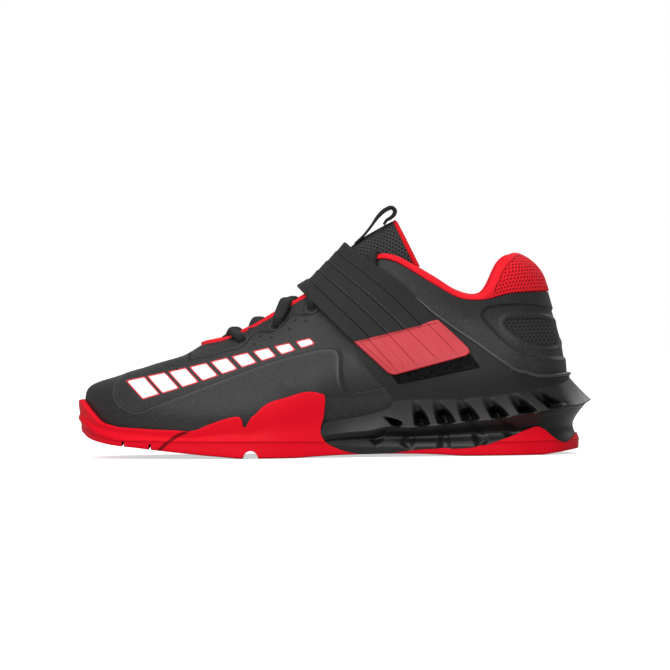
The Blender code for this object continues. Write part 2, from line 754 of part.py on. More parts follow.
def tongue_grid(across, offset, stations):
    """Tongue face at the shares across, moved inwards by the offset."""
    q = column(TONGUE, 0)
    x = LENGTH * spline(q, column(TONGUE, 1), stations)
    z = HEIGHT * spline(q, column(TONGUE, 2), stations)
    half = BALL_WIDTH * spline(q, column(TONGUE, 3), stations)
    drop = HEIGHT * spline(q, column(TONGUE, 4), stations)
    slope_x = np.gradient(x)
    slope_z = np.gradient(z)
    long = np.hypot(slope_x, slope_z)
    in_x = slope_z / long
    in_z = -slope_x / long
    centre = BALL_WIDTH * 0.036 * np.clip(1 - stations / 11.0, 0, 1)
    rows = []
    for share in across:
        fall = drop * (1 - np.cos(share * 1.45)) / (1 - np.cos(1.45))
        depth = fall + offset
        y = centre + np.sin(share * 1.45) / np.sin(1.45) * (half - 0.5 * offset)
        rows.append(np.stack([x + in_x * depth, y, z + in_z * depth], axis=1))
    return np.array(rows)


def build_tongue(parts):
    across = np.linspace(-1, 1, 9)
    stations = np.linspace(0, 12, 16)
    outer = tongue_grid(across, 0.0, stations)
    inner = tongue_grid(across, TONGUE_THICK, stations)
    return shell_solid("tongue", inner, outer, parts)


def hull_tree():
    """The outside of the upper with the throat bridged over the tongue, for what lies over it."""
    rows = [upper_at(v, step_of(AT, v)[:, None]) for v in LEVELS]
    top = rows[-1]
    x_mid = LENGTH * column(TONGUE, 1)
    z_mid = HEIGHT * column(TONGUE, 2)
    points = [p for row in rows for p in row]
    faces = []
    for r in range(len(LEVELS) - 1):
        for c in range(COUNT):
            d = (c + 1) % COUNT
            faces.append((r * COUNT + c, r * COUNT + d, (r + 1) * COUNT + d, (r + 1) * COUNT + c))
    bridge = []
    reach = int(HALF * 8.9 / 14.0)
    for c in range(1, reach):
        a = top[c]
        b = top[COUNT - c]
        x = 0.5 * (a[0] + b[0])
        crown = max(np.interp(x - 0.006, x_mid, z_mid) + 0.0005, 0.5 * (a[2] + b[2]))
        line = []
        for share in np.linspace(-1, 1, 9):
            bulge = np.cos(share * np.pi / 2) ** 0.8 if abs(share) < 1 else 0.0
            base = a * (1 - share) / 2 + b * (1 + share) / 2
            line.append(base + np.array([-0.006 * bulge, 0, (crown - base[2]) * bulge]))
        bridge.append(line)
    start = len(points)
    for line in bridge:
        points += line
    for r in range(len(bridge) - 1):
        for c in range(8):
            a = start + r * 9 + c
            faces.append((a, a + 1, a + 10, a + 9))
    return BVHTree.FromPolygons([Vector(p) for p in points], faces)


def band(tree, start, end, centre, angles, width_shares, lift, thick):
    """A band laid over the hull: rays from a line inside the shoe, turned through the angles."""
    inner = []
    outer = []
    for share in width_shares:
        origin = Vector(start) * (1 - share) + Vector(end) * share
        reach = []
        for angle in angles:
            down = Vector((centre[0], 0, centre[1])).normalized()
            ray = Vector((0, np.sin(angle), 0)) - down * np.cos(angle)
            hit = tree.ray_cast(origin, ray)
            reach.append(hit[3] if hit[3] is not None else np.nan)
        reach = np.array(reach)
        good = ~np.isnan(reach)
        reach = np.interp(angles, np.array(angles)[good], reach[good])
        smooth = reach.copy()
        for _ in range(3):
            calm = 0.25 * smooth[:-2] + 0.5 * smooth[1:-1] + 0.25 * smooth[2:]
            smooth[1:-1] = np.maximum(smooth[1:-1], calm)
        slant = np.cos(np.clip(np.abs(angles) - np.radians(80), 0, np.radians(55)))
        line_in = []
        line_out = []
        for angle, r, c in zip(angles, smooth, slant):
            ray = Vector((0, np.sin(angle), 0)) - down * np.cos(angle)
            line_in.append(origin + ray * (r + lift / c))
            line_out.append(origin + ray * (r + (lift + thick) / c))
        inner.append(line_in)
        outer.append(line_out)
    return np.array(inner), np.array(outer)


def over_plate(offset, name, corners, thick, parts, cutters):
    """A thin piece on the outside of the frame's wing, cut to a side view outline."""
    columns = [n for n in range(COUNT) if 6.5 < AT[n] < 13.0]
    levels = np.linspace(0.05, 0.98, 10)
    inner = np.array([upper_at(v, offset)[columns] for v in levels])
    outer = np.array([upper_at(v, offset + thick)[columns] for v in levels])
    made = shell_solid(name, inner, outer, parts)
    cutter = prism(name + "_outline", corners, -BALL_WIDTH, 0.0, cutters)
    cut(made, cutter, "INTERSECT")
    return made


def build_strap(parts, cutters, tree):
    """Black strap from the red end on the outer side, over the instep, down the inner side."""
    start = (0.512 * LENGTH, 0.0, 0.6245 * HEIGHT)
    end = (0.6027 * LENGTH, 0.0, 0.8540 * HEIGHT)
    angles = np.radians(np.linspace(-140, 140, 31))
    lift = 3 * GAP + LACE_LIFT + max(LACE_THICK, PLATE_THICK)
    shares = np.linspace(0, 1, 6)
    inner, outer = band(tree, start, end, (0.707, -0.707), angles, shares, lift, STRAP_THICK)
    strap = shell_solid("strap", inner, outer, parts)
    front, rear = outline((TAB[0], TAB[-1]))
    slope = (rear[1] - front[1]) / (rear[0] - front[0])
    near = 0.40 * LENGTH
    far = 0.95 * LENGTH
    ends = (
        ("strap_end_1", -GAP, -BALL_WIDTH, 0.0),
        ("strap_end_2", 0.14 * HEIGHT, 0.0, BALL_WIDTH),
    )
    for name, drop, low_y, high_y in ends:
        line = [(x, front[1] + slope * (x - front[0]) - drop) for x in (near, far)]
        corners = line + [(far, 0.0), (near, 0.0)]
        cut(strap, prism(name, corners, low_y, high_y, cutters), "DIFFERENCE")
    return strap


def build_lace(parts, tree, number, row):
    """One bar of the lace, from a hole on the outer side over the throat to one on the inner side."""
    middle, hole_x, hole_z = LENGTH * row[0], LENGTH * row[1], HEIGHT * row[2]
    base = hole_z - 0.15 * HEIGHT
    reach = []
    for side in (-1.0, 1.0):
        hit = tree.ray_cast(Vector((hole_x, side * BALL_WIDTH, hole_z)), Vector((0, -side, 0)))
        reach.append(np.arctan2(hit[0].y, hole_z - base))
    inner = []
    outer = []
    angles = np.linspace(reach[0], reach[1], 15)
    for edge in (-0.5, 0.5):
        line = []
        for angle in angles:
            share = abs(2 * (angle - angles[0]) / (angles[-1] - angles[0]) - 1) ** 1.6
            x = middle + (hole_x - middle) * share + edge * LACE_WIDTH
            ray = Vector((0, np.sin(angle), np.cos(angle)))
            hit = tree.ray_cast(Vector((x, 0, base)), ray)
            line.append((x, hit[3], ray))
        reach_out = np.array([item[1] for item in line])
        for _ in range(2):
            middle_of = (reach_out[:-2] + reach_out[2:]) / 2
            reach_out[1:-1] = np.maximum(reach_out[1:-1], middle_of)
        starts = [Vector((item[0], 0, base)) for item in line]
        rays = [item[2] for item in line]
        under = reach_out + LACE_LIFT
        over = under + LACE_THICK
        inner.append([p + ray * r for p, ray, r in zip(starts, rays, under)])
        outer.append([p + ray * r for p, ray, r in zip(starts, rays, over)])
    return shell_solid("lace_%d" % number, np.array(inner), np.array(outer), parts)


def build_pull(parts):
    line = np.array([(LENGTH * x, HEIGHT * z) for x, z in PULL])
    ahead = np.gradient(line, axis=0)
    ahead /= np.linalg.norm(ahead, axis=1)[:, None]
    side = np.stack([-ahead[:, 1], ahead[:, 0]], axis=1)
    sections = []
    for p, s in zip(line, side):
        near = p - s * LOOP_THICK / 2
        far = p + s * LOOP_THICK / 2
        sections.append([
            (near[0], -LOOP_WIDTH / 2, near[1]),
            (near[0], LOOP_WIDTH / 2, near[1]),
            (far[0], LOOP_WIDTH / 2, far[1]),
            (far[0], -LOOP_WIDTH / 2, far[1]),
        ])
    return tube_solid("pull_loop", sections, parts)


def principled(name, colour, rough, metal=0.0, coat=0.0):
    material = bpy.data.materials.new(name)
    material.use_nodes = True
    shader = material.node_tree.nodes["Principled BSDF"]
    shader.inputs["Base Color"].default_value = (*colour, 1.0)
    shader.inputs["Roughness"].default_value = rough
    shader.inputs["Metallic"].default_value = metal
    shader.inputs["Coat Weight"].default_value = coat
    return material


def main():
    for old in list(bpy.data.objects):
        bpy.data.objects.remove(old, do_unlink=True)
    parts = bpy.data.collections.new("weightlifting_shoe")
    cutters = bpy.data.collections.new("cutters")
    bpy.context.scene.collection.children.link(parts)
    bpy.context.scene.collection.children.link(cutters)
    red_rubber = principled("red_rubber", (0.62, 0.025, 0.035), 0.45)
    black_plate = principled("black_plate", (0.022, 0.023, 0.022), 0.32, coat=0.2)
    grey_leather = principled("grey_leather", (0.045, 0.045, 0.048), 0.62)
    red_mesh = principled("red_mesh", (0.60, 0.03, 0.035), 0.85)
    red_tab = principled("red_tab", (0.50, 0.045, 0.05), 0.6)
    black_cloth = principled("black_cloth", (0.018, 0.018, 0.020), 0.9)
    insole_cloth = principled("insole_cloth", (0.03, 0.03, 0.032), 0.9)
    build_outsole(parts, cutters).data.materials.append(red_rubber)
    build_heel_frame(parts, cutters).data.materials.append(black_plate)
    build_upper(parts).data.materials.append(grey_leather)
    build_insole(parts).data.materials.append(insole_cloth)
    build_collar(parts).data.materials.append(red_mesh)
    build_tongue(parts).data.materials.append(black_cloth)
    tree = hull_tree()
    build_strap(parts, cutters, tree).data.materials.append(black_cloth)
    patch_lift = 2 * GAP + PLATE_THICK
    patch = over_plate(patch_lift, "loop_patch", outline(PATCH), PATCH_THICK, parts, cutters)
    patch.data.materials.append(black_cloth)
    tab_lift = patch_lift + PATCH_THICK + GAP
    tab = over_plate(tab_lift, "strap_tab", outline(TAB), TAB_THICK, parts, cutters)
    tab.data.materials.append(red_tab)
    for number, row in enumerate(LACES):
        build_lace(parts, tree, number + 1, row).data.materials.append(black_cloth)
    build_pull(parts).data.materials.append(black_cloth)


main()
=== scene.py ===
"""A low weightlifting shoe for the left foot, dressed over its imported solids.

Metres. The toe points to -X, the outer side of the foot to -Y, and the ground is z = 0.
Table lengths are shares: x of LENGTH from the toe, y of BALL_WIDTH, z of HEIGHT.
Places on the wall are given as (q, level): q runs from the toe along the outer side to the heel
at 14 and back along the inner side to 28, and level runs from the foot of the wall to its edge.
"""

import bmesh
import bpy
import numpy as np
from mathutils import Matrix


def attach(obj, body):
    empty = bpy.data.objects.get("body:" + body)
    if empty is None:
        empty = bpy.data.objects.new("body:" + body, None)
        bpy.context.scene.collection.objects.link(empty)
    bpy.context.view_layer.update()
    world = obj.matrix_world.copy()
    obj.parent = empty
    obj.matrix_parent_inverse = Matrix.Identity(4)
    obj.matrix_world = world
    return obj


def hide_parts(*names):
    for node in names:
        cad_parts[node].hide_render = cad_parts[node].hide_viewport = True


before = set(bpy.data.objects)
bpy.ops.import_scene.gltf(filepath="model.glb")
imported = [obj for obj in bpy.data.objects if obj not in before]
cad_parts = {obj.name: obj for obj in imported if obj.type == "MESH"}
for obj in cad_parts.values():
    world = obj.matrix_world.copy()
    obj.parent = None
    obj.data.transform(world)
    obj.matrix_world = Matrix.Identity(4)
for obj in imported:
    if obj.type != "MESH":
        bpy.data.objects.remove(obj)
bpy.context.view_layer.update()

LENGTH = 0.300
BALL_WIDTH = 0.1035
HEIGHT = 0.1185
WALL = 0.0020
GAP = 0.0003
PLATE_THICK = 0.0014
EYESTAY_STEP = 0.0006
LINING_PAD = 0.0042
INSOLE_THICK = 0.0040
TONGUE_THICK = 0.0050
STRAP_THICK = 0.0020
PATCH_THICK = 0.0012
TAB_THICK = 0.0020
LACE_WIDTH = 0.0066
LOOP_THICK = 0.0015
LOOP_WIDTH = 0.0160
LACE_FULL = 0.0038
STRAP_FAN = 0.135
STRAP_STEP = 0.0005
# places round the shoe of the lace loops at the collar's front ends
LACE_LOOP = 8.43
TURN = 28.0
COLUMNS = 800
ROWS = 110

# q around from the toe to the heel, x, outer y, inner y, inset of the upper's foot
PLAN = (
    (0.00, 0.0000, 0.0966, 0.0966, 0.0483), (1.00, 0.0150, -0.0773, 0.2609, 0.0483),
    (2.00, 0.0567, -0.2512, 0.3913, 0.0483), (3.00, 0.1267, -0.3720, 0.4686, 0.0464),
    (4.00, 0.2067, -0.4493, 0.5072, 0.0435), (5.00, 0.2900, -0.4879, 0.5121, 0.0435),
    (6.00, 0.3733, -0.4879, 0.4831, 0.0415), (7.00, 0.4567, -0.4444, 0.4155, 0.0386),
    (8.00, 0.5400, -0.4010, 0.3527, 0.0386), (9.00, 0.6233, -0.3768, 0.3333, 0.0386),
    (10.00, 0.7067, -0.3768, 0.3478, 0.0406), (11.00, 0.7900, -0.3816, 0.3671, 0.0444),
    (12.00, 0.8700, -0.3575, 0.3527, 0.0531), (13.00, 0.9433, -0.2415, 0.2464, 0.0676),
    (14.00, 0.9767, 0.0000, 0.0000, 0.0870),
)
# q, x, outer y, inner y, z of the upper's edge, rise and forward lean of the collar above it
TOPLINE = (
    (0.00, 0.2387, 0.0386, 0.0386, 0.5654, 0.0000, 0.0000),
    (1.00, 0.2407, -0.0097, 0.0870, 0.5671, 0.0000, 0.0000),
    (2.00, 0.2483, -0.0580, 0.1353, 0.5722, 0.0000, 0.0000),
    (3.00, 0.2633, -0.0966, 0.1643, 0.5789, 0.0000, 0.0000),
    (4.00, 0.2900, -0.1256, 0.1884, 0.5949, 0.0000, 0.0000),
    (5.00, 0.3300, -0.1401, 0.2029, 0.6371, 0.0000, 0.0000),
    (6.00, 0.3767, -0.1546, 0.2126, 0.7004, 0.0000, 0.0000),
    (6.80, 0.4367, -0.1739, 0.2271, 0.7882, 0.0000, 0.0000),
    (7.60, 0.5067, -0.2077, 0.2415, 0.8793, 0.0200, 0.0000),
    (8.30, 0.5667, -0.2464, 0.2657, 0.9519, 0.0295, 0.0000),
    (8.65, 0.5933, -0.2686, 0.2754, 0.9705, 0.0295, 0.0000),
    (9.00, 0.6200, -0.2850, 0.2899, 0.9553, 0.0321, 0.0000),
    (9.40, 0.6533, -0.2995, 0.3043, 0.9072, 0.0338, 0.0000),
    (9.90, 0.6967, -0.3188, 0.3188, 0.8388, 0.0338, 0.0000),
    (10.40, 0.7400, -0.3237, 0.3237, 0.7781, 0.0253, 0.0000),
    (11.00, 0.7867, -0.3188, 0.3188, 0.7646, 0.0270, 0.0000),
    (11.70, 0.8400, -0.2802, 0.2802, 0.7932, 0.1519, 0.0422),
    (12.60, 0.8867, -0.1932, 0.1932, 0.8017, 0.1899, 0.0700),
    (14.00, 0.9183, 0.0000, 0.0000, 0.8000, 0.2025, 0.0800),
)
# share of the way up the wall, then the way in and the way up at each station
WAY = (
    (0.0, 0.000, 0.000, 0.00, 0.000, 0.00, 0.000, 0.00, 0.000, 0.00, 0.000),
    (0.1, 0.000, 0.163, 0.01, 0.130, 0.01, 0.120, 0.05, 0.110, 0.02, 0.110),
    (0.2, 0.000, 0.306, 0.02, 0.250, 0.03, 0.230, 0.12, 0.220, 0.06, 0.220),
    (0.3, 0.001, 0.412, 0.06, 0.370, 0.08, 0.340, 0.22, 0.320, 0.12, 0.320),
    (0.4, 0.022, 0.482, 0.13, 0.480, 0.15, 0.450, 0.34, 0.420, 0.20, 0.420),
    (0.5, 0.092, 0.537, 0.22, 0.585, 0.25, 0.550, 0.47, 0.520, 0.31, 0.520),
    (0.6, 0.225, 0.592, 0.34, 0.680, 0.37, 0.650, 0.60, 0.620, 0.44, 0.620),
    (0.7, 0.405, 0.667, 0.49, 0.770, 0.51, 0.745, 0.73, 0.715, 0.58, 0.715),
    (0.8, 0.600, 0.751, 0.65, 0.850, 0.66, 0.835, 0.85, 0.810, 0.73, 0.810),
    (0.9, 0.803, 0.843, 0.82, 0.930, 0.82, 0.920, 0.94, 0.905, 0.87, 0.905),
    (1.0, 1.000, 1.000, 1.00, 1.000, 1.00, 1.000, 1.00, 1.000, 1.00, 1.000),
)
STATIONS = (0.0, 4.5, 7.5, 10.5, 14.0)
# share of the way up the wall, then the swell outwards at each station
SWELL = (
    (0.0, 0.000, 0.000, 0.000, 0.000, 0.000), (0.1, 0.014, 0.018, 0.020, 0.016, 0.012),
    (0.2, 0.020, 0.029, 0.034, 0.028, 0.022), (0.3, 0.014, 0.031, 0.040, 0.034, 0.028),
    (0.4, 0.006, 0.029, 0.038, 0.028, 0.030), (0.5, 0.001, 0.025, 0.032, 0.014, 0.028),
    (0.6, 0.000, 0.019, 0.024, -0.004, 0.024), (0.7, 0.000, 0.013, 0.017, -0.018, 0.018),
    (0.8, 0.000, 0.008, 0.011, -0.022, 0.012), (0.9, 0.000, 0.004, 0.005, -0.014, 0.006),
    (1.0, 0.000, 0.000, 0.000, 0.000, 0.000),
)
# x, z of the floor that the upper and the insole stand on
FLOOR = (
    (0.0000, 0.1603), (0.0500, 0.1308), (0.1333, 0.1055), (0.2333, 0.0895), (0.3167, 0.0878), (0.4000, 0.1097),
    (0.4733, 0.1435), (0.5667, 0.1857), (0.6667, 0.2152), (0.7667, 0.2278), (1.0000, 0.2321),
)
# x, z of the tread, of the top of the red wall and of the step along it
GROUND = (
    (0.0000, 0.1392), (0.0117, 0.1224), (0.0200, 0.1030), (0.0333, 0.0869), (0.0547, 0.0726), (0.1133, 0.0540),
    (0.1600, 0.0397), (0.2067, 0.0270), (0.2433, 0.0169), (0.2767, 0.0093), (0.3133, 0.0000), (0.4200, 0.0000),
    (0.4533, 0.0051), (0.4933, 0.0101), (0.5500, 0.0135), (0.6833, 0.0101), (0.7533, 0.0000), (0.9000, 0.0000),
    (0.9733, 0.0228), (1.0000, 0.0270),
)
RIM = (
    (0.0039, 0.2807), (0.0196, 0.2307), (0.0362, 0.1833), (0.0586, 0.1619), (0.1134, 0.1466), (0.1789, 0.1384),
    (0.2248, 0.1372), (0.2542, 0.1651), (0.3030, 0.2008), (0.3402, 0.2040), (0.3597, 0.2484), (0.4066, 0.2922),
    (0.4516, 0.3182), (0.4731, 0.3078), (0.5024, 0.2773), (1.0000, 0.2773),
)
RIDGE = (
    (0.0000, 0.1772), (0.0133, 0.1392), (0.0333, 0.1165), (0.0600, 0.1004), (0.1333, 0.0911), (0.2667, 0.0869),
    (0.4933, 0.0793), (0.6000, 0.0717), (1.0000, 0.0717),
)
# side view: x, z of the notch in the top of the red wall
NOTCH = (
    (0.3110, 0.2150), (0.3190, 0.1900), (0.3225, 0.1560), (0.3255, 0.1560), (0.3300, 0.1760), (0.3400, 0.2150),
)
# x, z of the sharp edge around the heel
FLARE = (
    (0.4340, 0.1009), (0.4731, 0.1098), (0.5259, 0.1232), (0.5689, 0.1320), (0.6051, 0.1508), (0.6354, 0.1466),
    (0.6764, 0.1524), (0.7331, 0.1643), (0.7761, 0.1770), (0.8211, 0.1847), (0.8485, 0.1988), (0.8876, 0.2097),
    (0.9208, 0.2236), (0.9540, 0.2371), (0.9834, 0.2472), (0.9990, 0.2641),
)
# q, offsets of the heel frame's low foot, neck and sharp edge from the plan
FRAME_RING = (
    (0.0, -0.020, -0.020, -0.015), (6.0, -0.020, -0.020, -0.015), (7.5, -0.010, -0.014, 0.004),
    (9.0, -0.004, -0.026, 0.030), (11.0, -0.002, -0.032, 0.040), (13.0, -0.002, -0.034, 0.052),
    (14.0, -0.002, -0.036, 0.066),
)
# side view: x, z of the cut between the red sole and the heel frame, from the front
SOLE_CUT = (
    (0.4741, 0.4770), (0.4803, 0.2779), (0.4770, 0.2037), (0.4712, 0.1247), (0.4809, 0.0749), (0.4985, 0.0497),
    (0.6882, 0.0397), (0.7664, 0.0456), (0.7996, 0.0615), (0.8426, 0.0970), (0.8758, 0.1298), (0.8915, 0.1403),
    (0.9052, 0.1260), (0.9208, 0.0920), (0.9364, 0.0663), (0.9501, 0.0625), (0.9599, 0.0771), (0.9658, 0.0937),
    (1.0205, 0.1010),
)
# side view: x, z of the heel frame's upper outline: its front edge, then its rear edge round to the heel
FRAME_FRONT = (
    (0.4770, 0.1671), (0.5083, 0.1831), (0.5454, 0.1955), (0.5806, 0.2158), (0.6002, 0.2331), (0.6119, 0.2595),
    (0.6139, 0.2892), (0.6080, 0.3161), (0.5963, 0.3490), (0.5806, 0.3891), (0.5630, 0.4464), (0.5454, 0.5088),
    (0.5337, 0.5635),
)
FRAME_REAR = (
    (0.6295, 0.7738), (0.6491, 0.7847), (0.6588, 0.7745), (0.6882, 0.7129), (0.7273, 0.6376), (0.7800, 0.5436),
    (0.8309, 0.4502), (0.8543, 0.4135), (0.8700, 0.4061), (0.8837, 0.3929), (0.9091, 0.3868), (0.9423, 0.3918),
    (1.0205, 0.3939),
)
# side view: upper and lower end of each slanted pocket above the sharp edge, its half width at the lower end
POCKETS = (
    ((0.5960, 0.1950), (0.6230, 0.1550), 0.0230), ((0.6510, 0.3031), (0.6690, 0.1520), 0.0380),
    ((0.6862, 0.3230), (0.7160, 0.1607), 0.0430), ((0.7292, 0.3406), (0.7640, 0.1694), 0.0430),
    ((0.7731, 0.3493), (0.8215, 0.1850), 0.0400), ((0.8191, 0.3580), (0.8775, 0.2050), 0.0400),
    ((0.8601, 0.3470), (0.9360, 0.2350), 0.0360),
)
# the same of each shallow scoop below it
SCOOPS = (
    ((0.6061, 0.1450), (0.5748, 0.0774), 0.0300), ((0.6569, 0.1500), (0.6373, 0.0559), 0.0380),
    ((0.7136, 0.1600), (0.7100, 0.0440), 0.0380), ((0.7625, 0.1700), (0.7839, 0.0618), 0.0380),
    ((0.8152, 0.1850), (0.8446, 0.0999), 0.0380),
)
WING_CREASE = ((0.8426, 0.4138), (0.8700, 0.3665), (0.8993, 0.3212), (0.9208, 0.2810), (0.9423, 0.2557))
GROOVE = ((0.1584, 0.0464), (0.1681, 0.0684), (0.1818, 0.0958), (0.1955, 0.1172), (0.2111, 0.1316))
# side view: x, z of the red end of the strap and of the patch under it
TAB = (
    (0.5337, 0.5635), (0.6021, 0.4108), (0.6139, 0.4030), (0.7546, 0.4834),
    (0.7625, 0.4981), (0.7585, 0.5180), (0.6999, 0.6650),
)
PATCH = (
    (0.5904, 0.4630), (0.6100, 0.3982), (0.6217, 0.3583), (0.7820, 0.4332), (0.7644, 0.4881), (0.7429, 0.5481),
)
# q, x, z of the tongue's outer face on its middle line, half width and drop of its sides
TONGUE = (
    (0.0, 0.1867, 0.4304, 0.200, 0.030), (1.0, 0.2400, 0.5063, 0.215, 0.030), (2.0, 0.2833, 0.5485, 0.225, 0.035),
    (3.0, 0.3300, 0.5992, 0.230, 0.045), (4.0, 0.3767, 0.6666, 0.230, 0.060), (5.0, 0.4280, 0.7610, 0.230, 0.085),
    (6.0, 0.4600, 0.8397, 0.228, 0.105), (7.0, 0.4833, 0.9008, 0.226, 0.125), (8.0, 0.5067, 0.9590, 0.222, 0.140),
    (9.0, 0.5333, 1.0310, 0.211, 0.160), (10.0, 0.5600, 1.0800, 0.204, 0.184), (11.0, 0.5967, 1.1320, 0.202, 0.212),
    (12.0, 0.6200, 1.1610, 0.196, 0.236),
)
# x of each lace at the middle, then x and z of the holes that it ends at, and its height over the throat's edges
LACES = (
    (0.2900, 0.3187, 0.5742, 0.0008), (0.4190, 0.3851, 0.6467, 0.0026), (0.4600, 0.4555, 0.7339, 0.0018),
)
# x, y, z along the bar that crosses the tongue between the first two laces
LACE_BAR = (
    (0.3400, -0.1500, 0.6080), (0.3430, -0.1150, 0.6420), (0.3480, -0.0500, 0.6700), (0.3520, 0.0300, 0.6760),
    (0.3560, 0.1200, 0.6660), (0.3600, 0.1900, 0.6380), (0.3620, 0.2250, 0.6080),
)
# side view: x, z along the pull loop
PULL = (
    (0.5415, 1.0459), (0.5591, 1.0875), (0.5748, 1.1365), (0.5885, 1.1832), (0.6022, 1.2126), (0.6149, 1.2221),
    (0.6201, 1.2096), (0.6188, 1.1898), (0.6119, 1.1727), (0.6041, 1.1606), (0.5982, 1.1390),
)
# side view lines on the upper: the wavy edge of the eyestay, the long panel and the cell behind it
WAVE = (
    (0.2180, 0.4804), (0.2610, 0.5045), (0.2933, 0.5254), (0.3167, 0.5396), (0.3304, 0.5640), (0.3421, 0.6057),
    (0.3519, 0.6228), (0.3715, 0.6154), (0.3910, 0.6267), (0.4008, 0.6487), (0.4106, 0.6856), (0.4203, 0.7017),
    (0.4457, 0.6980), (0.4633, 0.7040), (0.4731, 0.7285), (0.4848, 0.7727),
)
EYES = ((0.3187, 0.5742), (0.3851, 0.6467), (0.4555, 0.7339))
PINHOLES = (
    (0.2047, 0.4990), (0.1842, 0.4778), (0.1947, 0.4760), (0.2049, 0.4743), (0.1728, 0.4563), (0.1828, 0.4531),
    (0.1593, 0.4319), (0.1935, 0.4399), (0.1720, 0.4197), (0.3552, 0.5985), (0.3767, 0.5900), (0.3443, 0.5577),
    (0.4235, 0.6749), (0.4438, 0.6684), (0.4123, 0.6311),
)
PANEL = (
    (0.1153, 0.4262), (0.0899, 0.4071), (0.0755, 0.3678), (0.0704, 0.3185), (0.0782, 0.2737), (0.0919, 0.2486),
    (0.1056, 0.2334), (0.1193, 0.2330), (0.1447, 0.2571), (0.1955, 0.3053), (0.2933, 0.3967), (0.3930, 0.4831),
    (0.4438, 0.5164), (0.4760, 0.5324), (0.4985, 0.5313), (0.5054, 0.5247), (0.5083, 0.5048), (0.5083, 0.4405),
    (0.5103, 0.3761), (0.5161, 0.3363), (0.5259, 0.3192), (0.5474, 0.3192), (0.5728, 0.3299), (0.5963, 0.3441),
)
WINDOW_OUT = (
    (0.7840, 0.6905), (0.7879, 0.7102), (0.7976, 0.7297), (0.8191, 0.7391), (0.8504, 0.7422), (0.8837, 0.7388),
    (0.9228, 0.7180), (0.9916, 0.6905), (0.9916, 0.4653), (0.9404, 0.4686), (0.9032, 0.4770), (0.8700, 0.4952),
    (0.8446, 0.5305), (0.8191, 0.5807), (0.7918, 0.6606),
)
# side view: the seam between the ribbed edge of the collar and its heel tab
COLLAR_SEAM = (
    (0.8133, 0.8036), (0.8133, 0.8135), (0.8211, 0.8578), (0.8309, 0.9120), (0.8465, 0.9561), (0.8680, 0.9951),
    (0.8860, 1.0260),
)
WINDOW_IN = (
    (0.8328, 0.6595), (0.8446, 0.6691), (0.8973, 0.6692), (0.9208, 0.6572), (0.9325, 0.6371), (0.9423, 0.5873),
    (0.9364, 0.5380), (0.9091, 0.5387), (0.8837, 0.5542), (0.8582, 0.5896), (0.8367, 0.6347),
)
# side view: the glossy stretch of the panel and the cell behind it
SADDLE = (
    (0.4280, 0.5080), (0.4760, 0.5324), (0.5054, 0.5247), (0.5300, 0.5180), (0.5520, 0.4400), (0.5860, 0.3560),
    (0.5963, 0.3000), (0.4780, 0.2900), (0.4280, 0.3350), (0.3960, 0.3700), (0.3960, 0.4300),
)
# side view: the axis of the row of slanted blocks on each side of the upper
BLOCKS = ((0.1075, 0.3372), (0.2190, 0.4085), (0.3363, 0.4915), (0.4633, 0.5763))


def spline(knots, values, at):
    """Smooth curve through the values, its slope at a knot taken from both neighbours."""
    knots = np.asarray(knots, float)
    values = np.asarray(values, float)
    at = np.clip(at, knots[0], knots[-1])
    slope = np.gradient(values, knots)
    place = np.clip(np.searchsorted(knots, at, side="right") - 1, 0, len(knots) - 2)
    step = knots[place + 1] - knots[place]
    t = (at - knots[place]) / step
    start = values[place] * (2 * t**3 - 3 * t**2 + 1) + slope[place] * step * (t**3 - 2 * t**2 + t)
    end = values[place + 1] * (3 * t**2 - 2 * t**3) + slope[place + 1] * step * (t**3 - t**2)
    return start + end


def column(table, number):
    return np.array([row[number] for row in table])


def around(table, outer, inner, at):
    """One column read round the whole shoe: the outer side to the heel, then the inner side back."""
    q = column(table, 0)
    there = column(table, outer)
    back = column(table, inner)
    knots = np.concatenate([q, TURN - q[-2::-1]])
    values = np.concatenate([there, back[-2::-1]])
    knots = np.concatenate([knots[-3:-1] - TURN, knots, knots[1:3] + TURN])
    values = np.concatenate([values[-3:-1], values, values[1:3]])
    return spline(knots, values, np.mod(at, TURN))


def height_at(table, x):
    """A height table read at places along the shoe, in metres."""
    return HEIGHT * spline(LENGTH * column(table, 0), column(table, 1), x)


def edge_of(q):
    """Edge of the sole from above."""
    return LENGTH * around(PLAN, 1, 1, q), BALL_WIDTH * around(PLAN, 2, 3, q)


def plan(q):
    """Edge of the sole from above, and its outward direction, from points a third of a step either side."""
    x, y = edge_of(q)
    ahead_x, ahead_y = edge_of(q + 0.35)
    behind_x, behind_y = edge_of(q - 0.35)
    along_x, along_y = ahead_x - behind_x, ahead_y - behind_y
    long = np.hypot(along_x, along_y)
    return x, y, along_y / long, -along_x / long


def shares_of_stations(q):
    """How much each station counts at a place round the shoe: smooth, and level at the toe and the heel."""
    station = np.minimum(np.mod(q, TURN), TURN - np.mod(q, TURN))
    knots = np.array((-STATIONS[1],) + STATIONS + (2 * STATIONS[4] - STATIONS[3],))
    whole = np.eye(5)
    return [spline(knots, np.concatenate([[row[1]], row, [row[3]]]), station) for row in whole]


